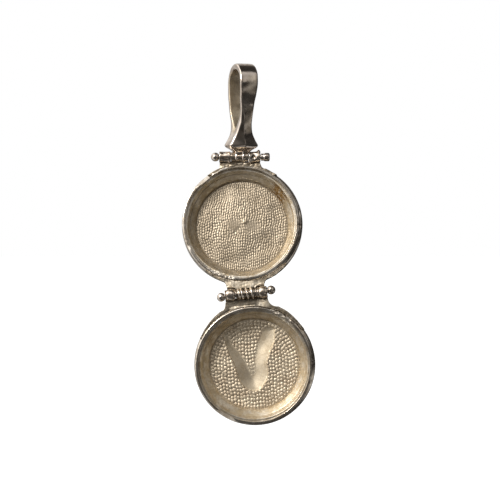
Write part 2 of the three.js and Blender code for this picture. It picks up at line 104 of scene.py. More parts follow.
@dataclass(frozen=True)
class Place:
    """A part's own frame: an origin in millimetres, and unit rows for across, depth and up."""

    origin: Array
    axes: Array

    def moved(self, across: float, up: float = 0.0) -> Place:
        """The same frame, moved along its own axes."""
        return Place(self.origin + np.array([across, 0.0, up]) @ self.axes, self.axes)

    def turned(self, first: int, second: int, degrees: float) -> Place:
        """The frame turned so that its first axis swings towards its second one.

        Args:
            first: The number of the axis that swings.
            second: The number of the axis that it swings towards.
            degrees: How far it swings.

        Returns:
            The turned frame.
        """
        turn = math.radians(degrees)
        axes = self.axes.copy()
        axes[first] = math.cos(turn) * self.axes[first] + math.sin(turn) * self.axes[second]
        axes[second] = math.cos(turn) * self.axes[second] - math.sin(turn) * self.axes[first]
        return Place(self.origin, axes)

    def tilted(self, degrees: float) -> Place:
        """The frame turned about its across axis, so that depth swings towards up."""
        return self.turned(DEPTH, UP, degrees)

    def skewed(self, degrees: float) -> Place:
        """The frame turned about its depth axis, so that up swings towards across."""
        return self.turned(UP, ACROSS, degrees)

    def put(self, points: Array) -> Array:
        """Points of the own frame as points of the locket's frame."""
        return self.origin + points @ self.axes

    def read(self, points: Array) -> Array:
        """Points of the locket's frame as points of the own frame."""
        return (points - self.origin) @ self.axes.T


LOCKET = Place(np.zeros(3), np.eye(3))


@dataclass
class Skin:
    """A closed surface: points in millimetres, faces of four corners, and a named value for each point.

    A triangle is a face whose first two corners are the same point.
    """

    points: Array
    faces: Array
    values: dict[str, Array] = field(default_factory=dict)


def grid_faces(index: Array, around: bool = True, along: bool = False) -> Array:
    """Joins each cell of a grid of point numbers into a face.

    Args:
        index: Point numbers, rows by columns.
        around: Whether the last column joins the first.
        along: Whether the last row joins the first.

    Returns:
        One row of four point numbers for each face.
    """
    if around:
        index = np.concatenate([index, index[:, :1]], axis=1)
    if along:
        index = np.concatenate([index, index[:1]], axis=0)
    cells = [index[:-1, :-1], index[:-1, 1:], index[1:, 1:], index[1:, :-1]]
    return np.stack(cells, axis=-1).reshape(-1, 4)


def grid_skin(
    grid: Array, along: bool = False, poles: bool = False, values: dict[str, Array] | None = None
) -> Skin:
    """A closed skin from a grid of points whose columns run round it.

    Args:
        grid: Points, rows by columns by three.
        along: Whether the last row joins the first, as in a ring.
        poles: Whether the first and the last row each close to one point.
        values: Named values for each point, or for each row.

    Returns:
        The skin.
    """
    rows, columns = grid.shape[:2]
    index = np.arange(rows * columns).reshape(rows, columns)
    if poles:
        index[0] = index[0, 0]
        index[-1] = index[-1, 0]
    faces = grid_faces(index, along=along)
    closed = faces[:, 2] == faces[:, 3]
    faces[closed] = faces[closed][:, [2, 2, 0, 1]]
    flat = {name: np.broadcast_to(value, (rows, columns)).ravel() for name, value in (values or {}).items()}
    return Skin(grid.reshape(-1, 3), faces, flat)


def outward(points: Array, faces: Array) -> Array:
    """Turns the faces over if the volume that they enclose is negative.

    Args:
        points: The points.
        faces: The faces, as in a skin.

    Returns:
        The faces, all pointing out.
    """
    a, b, c, d = (points[faces[:, k]] for k in range(4))
    volume = np.sum(a * np.cross(b, c)) + np.sum(a * np.cross(c, d))
    if volume >= 0:
        return faces
    return np.where((faces[:, 0] == faces[:, 1])[:, None], faces[:, [0, 0, 3, 2]], faces[:, ::-1])


def new_object(name: str, data: bpy.types.ID) -> bpy.types.Object:
    """A new object at the origin, linked into the scene.

    Args:
        name: The object's name.
        data: Its mesh, camera or light.

    Returns:
        The object.
    """
    obj = bpy.data.objects.new(name, data)
    bpy.context.scene.collection.objects.link(obj)
    return obj


def set_values(mesh: bpy.types.Mesh, values: dict[str, Array]) -> None:
    """Stores named values at a mesh's points, where the finishes read them."""
    for key, value in values.items():
        mesh.attributes.new(key, "FLOAT", "POINT").data.foreach_set("value", value.astype(np.float32))


def make_piece(name: str, place: Place, skins: list[Skin]) -> bpy.types.Object:
    """Puts closed skins into one smooth mesh object at the origin.

    Args:
        name: The piece's name.
        place: The frame that the skins are given in.
        skins: The closed skins.

    Returns:
        The new object, whose mesh is in metres in the locket's frame.
    """
    points, faces, offset = [], [], 0
    values = {key: [] for key in sorted({key for skin in skins for key in skin.values})}
    for skin in skins:
        used, flat = np.unique(skin.faces, return_inverse=True)
        points.append(skin.points[used])
        faces.append(outward(points[-1], flat.reshape(-1, 4)) + offset)
        offset += len(used)
        for key, parts in values.items():
            parts.append(skin.values[key][used] if key in skin.values else np.zeros(len(used)))
    points, faces = np.concatenate(points), np.concatenate(faces)
    three = faces[:, 0] == faces[:, 1]
    corners = np.concatenate([faces[~three].ravel(), faces[three][:, 1:].ravel()]).astype(np.int32)
    fours, threes = int((~three).sum()), int(three.sum())
    starts = np.concatenate([np.arange(fours) * 4, fours * 4 + np.arange(threes) * 3]).astype(np.int32)
    mesh = bpy.data.meshes.new(name)
    mesh.vertices.add(len(points))
    mesh.vertices.foreach_set("co", (place.put(points) * MM).astype(np.float32).ravel())
    mesh.loops.add(len(corners))
    mesh.loops.foreach_set("vertex_index", corners)
    mesh.polygons.add(len(starts))
    mesh.polygons.foreach_set("loop_start", starts)
    mesh.update(calc_edges=True)
    mesh.shade_smooth()
    set_values(mesh, {key: np.concatenate(parts) for key, parts in values.items()})
    return new_object(name, mesh)


def smooth(x: Array, start: float, end: float) -> Array:
    """A smooth step from 0 at start to 1 at end."""
    t = np.clip((x - start) / (end - start), 0.0, 1.0)
    return t * t * (3.0 - 2.0 * t)


def band(x: Array, rise: Span, fall: Span) -> Array:
    """A soft band: it rises from 0 to 1 over the first span and falls back over the second."""
    return smooth(x, *rise) * (1 - smooth(x, *fall))


def mix(a: Array, b: Array, share: Array) -> Array:
    """The value a share of the way from a to b."""
    return a + (b - a) * share


def line_at(x: Array, centre: float, width: float) -> Array:
    """A soft line: 1 at its centre, fading over its width as a bell curve does."""
    return np.exp(-(((x - centre) / width) ** 2))


def bump_at(x: Array, z: Array, centre: Span, size: Span) -> Array:
    """A round hump: 1 at its centre, fading over its two sizes as a bell curve does."""
    return np.exp(-(((x - centre[0]) / size[0]) ** 2) - ((z - centre[1]) / size[1]) ** 2)


def gap_to(x: Array, z: Array, start: Span, end: Span) -> Array:
    """How far points lie from a straight stretch: each point's distance to its foot, kept on the stretch.

    Args:
        x: Across.
        z: Up.
        start: Where the stretch starts.
        end: Where it ends.

    Returns:
        The distances.
    """
    (ax, az), (bx, bz) = start, end
    along = ((x - ax) * (bx - ax) + (z - az) * (bz - az)) / ((bx - ax) ** 2 + (bz - az) ** 2)
    along = np.clip(along, 0, 1)
    return np.hypot(x - ax - along * (bx - ax), z - az - along * (bz - az))


def ripple(angle: Array, seed: int, height: float) -> Array:
    """Unevenness round a ring: a sum of sines of whole orders, each weaker than the last, with seeded phases.

    Args:
        angle: The angle round the ring.
        seed: The seed of the phases.
        height: About how far the ripple reaches.

    Returns:
        The unevenness at each angle.
    """
    rng = np.random.default_rng(seed)
    orders, weakening, evening = np.array([2, 3, 5, 8, 13, 21]), 0.6, 2.0
    waves = [np.sin(order * angle + rng.uniform(0, 2 * np.pi)) / order**weakening for order in orders]
    return height * sum(waves) / evening


def lumps(points: Array, seed: int, height: float, wave: float) -> Array:
    """Unevenness in space: a sum of seeded plane waves, over about the square root of their number.

    Args:
        points: The points.
        seed: The seed of the waves' directions, lengths and phases.
        height: About how far the unevenness reaches.
        wave: About how long the waves are.

    Returns:
        The unevenness at each point.
    """
    count, spread, evening = 12, (0.6, 1.7), 3.5
    rng = np.random.default_rng(seed)
    directions = rng.normal(size=(count, 3))
    lengths = np.linalg.norm(directions, axis=1)[:, None]
    directions *= (2 * np.pi / wave) * rng.uniform(*spread, (count, 1)) / lengths
    phases = rng.uniform(0, 2 * np.pi, count)
    return height * np.sin(points @ directions.T + phases).sum(axis=-1) / evening


def rounded(corners: list[tuple[float, ...]], step: float, closed: bool = True) -> tuple[Array, Array]:
    """Draws a line through corners, with each corner cut back and bent, and long stretches divided.

    Args:
        corners: Each corner's two coordinates, how far its bend reaches, and a value carried along.
        step: The longest stretch left undivided.
        closed: Whether the line returns to its start.

    Returns:
        The points, one row each, and their values.
    """
    bend_points, longest_share = 7, 0.49
    ring = np.array(corners, float)
    count = len(ring)
    drawn = []
    for k, corner in enumerate(ring):
        if not closed and k in (0, count - 1):
            drawn.append(corner[[0, 1, 3]][None])
            continue
        before, after = ring[k - 1], ring[(k + 1) % count]
        back, ahead = before[:2] - corner[:2], after[:2] - corner[:2]
        reach = [np.linalg.norm(back), np.linalg.norm(ahead)]
        shares = [min(corner[2] / size, longest_share) for size in reach]
        ends = [corner[:2] + side * share for side, share in zip((back, ahead), shares)]
        t = np.linspace(0, 1, bend_points)[:, None]
        bent = (1 - t) ** 2 * ends[0] + 2 * t * (1 - t) * corner[:2] + t**2 * ends[1]
        drawn.append(np.concatenate([bent, np.full((bend_points, 1), corner[3])], axis=1))
    line = np.concatenate(drawn)
    if closed:
        line = np.concatenate([line, line[:1]])
    lengths = np.linalg.norm(np.diff(line[:, :2], axis=0), axis=1)
    parts = np.maximum(1, np.ceil(lengths / step).astype(int))
    at = np.concatenate([k + np.arange(n) / n for k, n in enumerate(parts)])
    if not closed:
        at = np.append(at, len(line) - 1)
    spots = np.arange(len(line))
    first, second, carried = (np.interp(at, spots, line[:, column]) for column in range(3))
    return np.stack([first, second], axis=1), carried


def around_depth(radius: Array, depth: Array, angle: Array) -> Array:
    """Points on rings about the depth axis, at an angle from across towards up."""
    depth = np.broadcast_to(depth, np.broadcast(radius, angle).shape)
    return np.stack([radius * np.cos(angle), depth, radius * np.sin(angle)], axis=-1)


def around_across(along: Array, radius: Array, angle: Array) -> Array:
    """Points on rings about the across axis. The angle starts at up and turns towards the front."""
    along = np.broadcast_to(along, np.broadcast(radius, angle).shape)
    return np.stack([along, -radius * np.sin(angle), radius * np.cos(angle)], axis=-1)


def swept(path: Array, wide: float, thick: float) -> Skin:
    """A rod carried along a path: at each point an ellipse square to the path, closed to a point at each end.

    Args:
        path: Points that lie in one plane.
        wide: Half the rod's width, within the path's plane.
        thick: Half its thickness, along the plane's normal.

    Returns:
        The rod's skin.
    """
    columns, end_power = 24, 14
    along = np.gradient(path, axis=0)
    along /= np.linalg.norm(along, axis=1, keepdims=True)
    normal = np.linalg.svd(path - path.mean(axis=0))[2][2]
    aside = np.cross(along, normal)
    turn = np.linspace(0, 2 * np.pi, columns, endpoint=False)
    share = np.linspace(0, 1, len(path))
    cap = np.sqrt(1 - np.abs(2 * share - 1) ** end_power)[:, None]
    grid = path[:, None] + aside[:, None] * np.cos(turn)[None, :, None] * (wide * cap)[..., None]
    grid = grid + normal * np.sin(turn)[None, :, None] * (thick * cap)[..., None]
    return grid_skin(grid, poles=True)


class Graph:
    """Short words for building a node tree. A value is a plain one, or another node's output."""

    def __init__(self, tree: bpy.types.NodeTree) -> None:
        """Keeps the tree that nodes are added to."""
        self.tree = tree

    def feed(self, node: bpy.types.Node, inputs: dict[str | int, object]) -> None:
        """Gives a node's inputs their values.

        Args:
            node: The node.
            inputs: The value of each input, by its name or number.
        """
        for key, value in inputs.items():
            if isinstance(value, Socket):
                self.tree.links.new(value, node.inputs[key])
            else:
                node.inputs[key].default_value = value

    def add(
        self, kind: str, inputs: dict[str | int, object] | None = None, **settings: object
    ) -> bpy.types.Node:
        """Adds a node.

        Args:
            kind: The node's type.
            inputs: The value of each input that isn't left as it is.
            settings: The node's properties.

        Returns:
            The node.
        """
        node = self.tree.nodes.new(kind)
        for key, value in settings.items():
            setattr(node, key, value)
        self.feed(node, inputs or {})
        return node

    def math(self, operation: str, a: object, b: object, clamp: bool) -> Socket:
        """The result of a Math node on two values, kept between 0 and 1 if clamp is set."""
        return self.add("ShaderNodeMath", {0: a, 1: b}, operation=operation, use_clamp=clamp).outputs[0]

    def plus(self, a: object, b: object, clamp: bool = False) -> Socket:
        """The sum of two values."""
        return self.math("ADD", a, b, clamp)

    def minus(self, a: object, b: object, clamp: bool = False) -> Socket:
        """The first value less the second one."""
        return self.math("SUBTRACT", a, b, clamp)

    def times(self, a: object, b: object, clamp: bool = False) -> Socket:
        """The product of two values."""
        return self.math("MULTIPLY", a, b, clamp)

    def blend(self, share: object, a: object, b: object) -> Socket:
        """The colour a share of the way from a to b."""
        a, b = (value if isinstance(value, Socket) else (*value, 1.0) for value in (a, b))
        return self.add("ShaderNodeMix", {0: share, 6: a, 7: b}, data_type="RGBA").outputs[2]

    def between(self, share: object, a: object, b: object) -> Socket:
        """The number a share of the way from a to b."""
        return self.add("ShaderNodeMix", {0: share, 2: a, 3: b}, data_type="FLOAT").outputs[0]

    def noise(self, where: Socket, scale: object, detail: float, roughness: float = 0.5) -> Socket:
        """The level of a noise at a place, around a half."""
        inputs = {"Vector": where, "Scale": scale, "Detail": detail, "Roughness": roughness}
        return self.add("ShaderNodeTexNoise", inputs).outputs["Fac"]

    def ramp(self, value: Socket, stops: tuple[Span, ...]) -> Socket:
        """A grey level that follows a value.

        Args:
            value: The value.
            stops: Pairs of value and level.

        Returns:
            The level.
        """
        node = self.add("ShaderNodeValToRGB", {0: value})
        elements = node.color_ramp.elements
        elements.remove(elements[-1])
        for k, (at, level) in enumerate(stops):
            stop = elements[0] if k == 0 else elements.new(at)
            stop.position = at
            stop.color = (level, level, level, 1.0)
        return node.outputs[0]

    def attribute(self, name: str) -> Socket:
        """A named value of the mesh, which is 0 where the mesh has none."""
        return self.add("ShaderNodeAttribute", attribute_name=name).outputs["Fac"]


def new_group(
    name: str, inputs: tuple[str, ...], outputs: tuple[str, ...]
) -> tuple[Graph, bpy.types.Node, bpy.types.Node]:
    """Starts a shader node group.

    Args:
        name: The group's name.
        inputs: The names of its number inputs. A Vector input is added before them.
        outputs: The names of its number outputs.

    Returns:
        A graph to build in, and the group's input and output nodes.
    """
    tree = bpy.data.node_groups.new(name, "ShaderNodeTree")
    tree.interface.new_socket("Vector", in_out="INPUT", socket_type="NodeSocketVector")
    for keys, way in ((inputs, "INPUT"), (outputs, "OUTPUT")):
        for key in keys:
            tree.interface.new_socket(key, in_out=way, socket_type="NodeSocketFloat")
    graph = Graph(tree)
    return graph, graph.add("NodeGroupInput"), graph.add("NodeGroupOutput")


def new_material(name: str) -> tuple[bpy.types.Material, Graph, bpy.types.Node]:
    """Starts a material.

    Args:
        name: The material's name.

    Returns:
        The material, a graph to build in, and its shader.
    """
    material = bpy.data.materials.new(name)
    material.use_nodes = True
    return material, Graph(material.node_tree), material.node_tree.nodes["Principled BSDF"]


def tarnish_group() -> bpy.types.NodeTree:
    """Cloudy tarnish: two sizes of noise as a mask, and one in between that unsettles the roughness.

    Returns:
        The group.
    """
    graph, source, target = new_group("tarnish", ("Scale", "Amount"), ("Mask", "Wander"))
    roughness, broad_share, fine_share = 0.6, 0.6, 0.4
    amount_share, level, steepness = 0.5, 0.62, 5.0
    where, scale, amount = (source.outputs[key] for key in ("Vector", "Scale", "Amount"))
    sizes = ((1.0, 3.0), (4.3, 4.0), (2.2, 2.0))
    broad, fine, middle = (
        graph.noise(where, graph.times(scale, size), detail, roughness) for size, detail in sizes
    )
    clouds = graph.plus(graph.times(broad, broad_share), graph.times(fine, fine_share))
    lifted = graph.minus(graph.plus(clouds, graph.times(amount, amount_share)), level)
    graph.feed(target, {"Mask": graph.times(lifted, steepness, clamp=True)})
    graph.feed(target, {"Wander": graph.minus(middle, 0.5)})
    return graph.tree


def marks_group() -> bpy.types.NodeTree:
    """Handling marks as a height: a fine grain, soft dents, and hairline scratches along a stretched noise.

    Returns:
        The group.
    """
    graph, source, target = new_group("marks", ("Grain", "Dents", "Scratch"), ("Height",))
    grain_share, scratch_level, scratch_depth = 0.25, 0.62, 3.0
    where = source.outputs["Vector"]
    grain = graph.noise(where, source.outputs["Grain"], 2.0, 0.55)
    dents = graph.noise(where, source.outputs["Dents"], 1.5)
    stretch = {"Vector": where, "Rotation": (0.3, 0.5, 0.9), "Scale": (700.0, 9000.0, 9000.0)}
    lines = graph.noise(graph.add("ShaderNodeMapping", stretch).outputs[0], 1.0, 1.0)
    cut = graph.times(graph.minus(lines, scratch_level, clamp=True), source.outputs["Scratch"])
    base = graph.plus(graph.times(grain, grain_share), dents)
    graph.feed(target, {"Height": graph.minus(base, graph.times(cut, scratch_depth))})
    return graph.tree


@dataclass(frozen=True)
class Metal:
    """A metal finish: bright and tarnished colours, and a second pair where the mesh's value inside is 1.

    The mesh's value recess darkens the colour: partly grime in hollows, partly painted shade in corners,
    creases and on shaded sides. Stain lays a brown stain in flecks, and pores roughens and pits. Noise scales
    are in cycles per metre, and height is how far the bumps rise, in millimetres.
    """

    name: str
    slot: Slot
    bright: Colour
    dull: Colour
    roughness: float
    inner_bright: Colour = (0.7, 0.63, 0.5)
    inner_dull: Colour = (0.5, 0.43, 0.31)
    inner_roughness: float = 0.5
    tarnish: float = 0.5
    cloud_scale: float = 420.0
    grain: float = 9000.0
    dents: float = 1100.0
    scratch: float = 0.6
    height: float = 0.012
    shade_and_grime_colour: Colour = (0.1, 0.075, 0.048)
    shade_and_grime_share: float = 0.8
    stain_colour: Colour = (0.36, 0.22, 0.085)
    fleck_scale: float = 2200.0
    fleck_level: float = 0.34
    fleck_steepness: float = 5.0
    tarnish_roughness: float = 0.08
    wander_roughness: float = 0.18
    pore_roughness: float = 0.15
    pit_scale: float = 3300.0
    pit_height: float = 6.0

    def make(self, groups: dict[str, bpy.types.NodeTree]) -> bpy.types.Material:
        """Builds the material.

        Args:
            groups: The shared node groups by name.

        Returns:
            The new material.
        """
        material, graph, shader = new_material(self.name)
        where = graph.add("ShaderNodeTexCoord").outputs["Object"]
        tarnish = graph.add("ShaderNodeGroup", node_tree=groups["tarnish"])
        graph.feed(tarnish, {"Vector": where, "Scale": self.cloud_scale, "Amount": self.tarnish})
        marks = graph.add("ShaderNodeGroup", node_tree=groups["marks"])
        graph.feed(marks, {"Vector": where, "Grain": self.grain})
        graph.feed(marks, {"Dents": self.dents, "Scratch": self.scratch})
        inside, recess, stain, pores = map(graph.attribute, ("inside", "recess", "stain", "pores"))
        mask = tarnish.outputs["Mask"]
        outer = graph.blend(mask, self.bright, self.dull)
        inner = graph.blend(mask, self.inner_bright, self.inner_dull)
        colour = graph.blend(inside, outer, inner)
        # painted shade with grime: the colour darkens towards shade_and_grime_colour by the mesh's recess
        colour = graph.blend(graph.times(recess, self.shade_and_grime_share), colour, self.shade_and_grime_colour)
        flecks = graph.minus(graph.noise(where, self.fleck_scale, 4.0), self.fleck_level)
        spread = graph.times(flecks, self.fleck_steepness, clamp=True)
        colour = graph.blend(graph.times(stain, spread, clamp=True), colour, self.stain_colour)
        rough = graph.plus(self.roughness, graph.times(inside, self.inner_roughness - self.roughness))
        rough = graph.plus(rough, graph.times(mask, self.tarnish_roughness))
        rough = graph.plus(rough, graph.times(tarnish.outputs["Wander"], self.wander_roughness))
        rough = graph.plus(rough, graph.times(pores, self.pore_roughness), clamp=True)
        pits = graph.times(graph.times(graph.noise(where, self.pit_scale, 2.0), pores), self.pit_height)
        height = graph.plus(marks.outputs["Height"], pits)
        bump = graph.add("ShaderNodeBump", {"Strength": 1.0, "Distance": self.height * MM, "Height": height})
        graph.feed(shader, {"Metallic": 1.0, "Base Color": colour, "Roughness": rough})
        graph.feed(shader, {"Normal": bump.outputs["Normal"]})
        return material


CASE_METAL = Metal("worn_case_silver", Slot.POLISHED, (0.74, 0.69, 0.62), (0.42, 0.36, 0.29), 0.15,
                   (0.82, 0.77, 0.68), (0.56, 0.47, 0.33), 0.44)
# painted shade: a darker copy of the lower floor's punched champagne
UPPER_FLOOR_SHADED_METAL = Metal("upper_punched_champagne_shaded", Slot.MATTE, (0.42, 0.355, 0.27), (0.32, 0.265, 0.195),
                          0.46, tarnish=0.35, cloud_scale=250.0, dents=2500.0, height=0.008)
LOWER_FLOOR_METAL = Metal("lower_punched_champagne", Slot.MATTE, (0.78, 0.68, 0.53), (0.58, 0.48, 0.36),
                          0.54, (0.72, 0.63, 0.49), (0.57, 0.48, 0.35), 0.6, tarnish=0.38, cloud_scale=500.0,
                          dents=2500.0)
HINGE_METAL = Metal("soldered_hinge_silver", Slot.POLISHED, (0.8, 0.73, 0.65), (0.48, 0.39, 0.31), 0.15,
                    tarnish=0.45, cloud_scale=900.0)
LUG_METAL = Metal("filed_lug_silver", Slot.POLISHED, (0.76, 0.68, 0.56), (0.46, 0.38, 0.28), 0.3,
                  (0.84, 0.76, 0.64), (0.6, 0.52, 0.4), cloud_scale=600.0, height=0.02)
BAIL_METAL = Metal("worn_bail_silver", Slot.POLISHED, (0.74, 0.66, 0.59), (0.46, 0.37, 0.3), 0.12,
                   (0.6, 0.52, 0.4), (0.39, 0.32, 0.225), 0.42, tarnish=0.35, cloud_scale=330.0, height=0.006)
PIN_METAL = Metal("bright_pin_silver", Slot.PIN, (0.7, 0.65, 0.6), (0.36, 0.3, 0.25), 0.1,
                  tarnish=0.4, cloud_scale=900.0)


class Workshop:
    """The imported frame, the finishes, and the way that a piece is dressed and set to ride."""

    def __init__(self, frame: dict[str, object]) -> None:
        """Keeps the frame's nodes and builds the shared groups and the materials.
        """
        self.nodes = frame["nodes"]
        groups = {"tarnish": tarnish_group(), "marks": marks_group()}
        finishes = (
            CASE_METAL, UPPER_FLOOR_SHADED_METAL, LOWER_FLOOR_METAL, HINGE_METAL, LUG_METAL, BAIL_METAL, PIN_METAL
        )
        self.materials = {finish.name: finish.make(groups) for finish in finishes}

    def dress(self, obj: bpy.types.Object, finish: Metal, body: str, node: str) -> None:
        """Gives a piece its finish, its body and the CAD node that it stands for.

        Args:
            obj: The piece.
            finish: Its metal.
            body: The CAD body that it rides on.
            node: The CAD node that it replaces.
        """
        obj.data.materials.clear()
        obj.data.materials.append(self.materials[finish.name])
        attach(obj, body)
        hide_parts(node)
        LOG.info("%s: %d faces on %s", obj.name, len(obj.data.polygons), body)


@dataclass(frozen=True)
class Spot:
    """A solder spot or facet on a lug: its middle in the hinge's frame, half sizes, rise and brightness."""

    across: float
    up: float
    wide: float
    high: float
    rise: float
    shine: float


@dataclass(frozen=True)
class Sleeve:
    """A bright line round an outer knuckle: its middle across the hinge, its radius and its strength."""

    across: float
    radius: float
    strength: float


@dataclass
class Lug:
    """A strip that carries knuckles: a softened, uneven copy of its CAD node, dark along its seams.

    Matt is how much of the matt inner finish it has, and sunk is how far it is drawn back to clear the
    other lug. Near its knuckles it is darkened with painted shade.
    """

    name: str
    node: str
    body: str
    case: Place
    hinge: Place
    seed: int
    matt: float
    sunk: float
    spots: tuple[Spot, ...]
    sleeves: tuple[Sleeve, ...] = ()
    voxel: float = 0.05
    smoothing: tuple[int, float] = (6, 0.5)
    broad_lumps: Span = (0.04, 2.4)
    fine_lumps: Span = (0.012, 0.8)
    sleeve_width: float = 0.13
    sleeve_rise: float = 0.1
    spot_power: int = 6
    seam_radius: float = 12.5
    seam_width: float = 0.22
    knuckle_shade: Span = (1.3, 2.2)
    seam_grime: float = 0.8
    knuckle_painted_shade: float = 0.9
    even_grime: float = 0.12
    bright_matt: float = 0.9

    def cast(self, source: bpy.types.Object) -> bpy.types.Object:
        """Copies the CAD node, merges its points, remeshes it in small voxels and smooths it.

        Args:
            source: The CAD node's object.

        Returns:
            The new object.
        """
        merging = 1e-6
        work = bmesh.new()
        work.from_mesh(source.data)
        bmesh.ops.remove_doubles(work, verts=work.verts, dist=merging)
        copy = bpy.data.meshes.new(self.name)
        work.to_mesh(copy)
        work.free()
        obj = new_object(self.name, copy)
        remesh = obj.modifiers.new("remesh", "REMESH")
        remesh.mode = "VOXEL"
        remesh.voxel_size = self.voxel * MM
        soften = obj.modifiers.new("soften", "SMOOTH")
        soften.iterations, soften.factor = self.smoothing
        depsgraph = bpy.context.evaluated_depsgraph_get()
        mesh = bpy.data.meshes.new_from_object(obj.evaluated_get(depsgraph))
        obj.modifiers.clear()
        obj.data = mesh
        mesh.name = self.name
        return obj

    def build(self, shop: Workshop) -> None:
        """Builds and dresses the lug.

        Each point moves along its normal by the unevenness, and rises in front at the sleeves and the spots.

        Args:
            shop: The workshop.
        """
        obj = self.cast(shop.nodes[self.node])
        mesh = obj.data
        count = len(mesh.vertices)
        points, normals = np.zeros(count * 3), np.zeros(count * 3)
        mesh.vertices.foreach_get("co", points)
        mesh.vertex_normals.foreach_get("vector", normals)
        points, normals = points.reshape(-1, 3) / MM, normals.reshape(-1, 3)
        by_case, by_hinge = self.case.read(points), self.hinge.read(points)
        across, depth, up = by_hinge.T
        facing = np.clip(-(normals @ self.hinge.axes[DEPTH]), 0, 1)
        push = lumps(points, self.seed, *self.broad_lumps) + lumps(points, self.seed, *self.fine_lumps)
        push = push - self.sunk * (1 + facing)
        bright = np.zeros(count)
        for sleeve in self.sleeves:
            ring = np.hypot(across - sleeve.across, up)
            line = line_at(ring, sleeve.radius, self.sleeve_width) * facing * sleeve.strength
            push = push + self.sleeve_rise * line
            bright = np.maximum(bright, line)
        for spot in self.spots:
            off = np.abs((across - spot.across) / spot.wide) ** self.spot_power
            off = off + np.abs((up - spot.up) / spot.high) ** self.spot_power
            patch = np.exp(-off) * facing
            push = push + spot.rise * patch
            bright = np.maximum(bright, spot.shine * patch)
        moved = (points + normals * push[:, None]) * MM
        mesh.vertices.foreach_set("co", moved.astype(np.float32).ravel())
        mesh.update()
        mesh.shade_smooth()
        seam = line_at(np.hypot(by_case[:, ACROSS], by_case[:, UP]), self.seam_radius, self.seam_width)
        # painted shade: darker towards the knuckles
        painted_shade = 1 - smooth(np.hypot(depth, up), *self.knuckle_shade)
        grime_and_shade = self.seam_grime * seam + self.knuckle_painted_shade * painted_shade + self.even_grime
        grime_and_shade = np.clip(grime_and_shade, 0, 1) * (1 - bright)
        set_values(mesh, {"recess": grime_and_shade, "inside": mix(self.matt, self.bright_matt, bright)})
        shop.dress(obj, LUG_METAL, self.body, self.node)


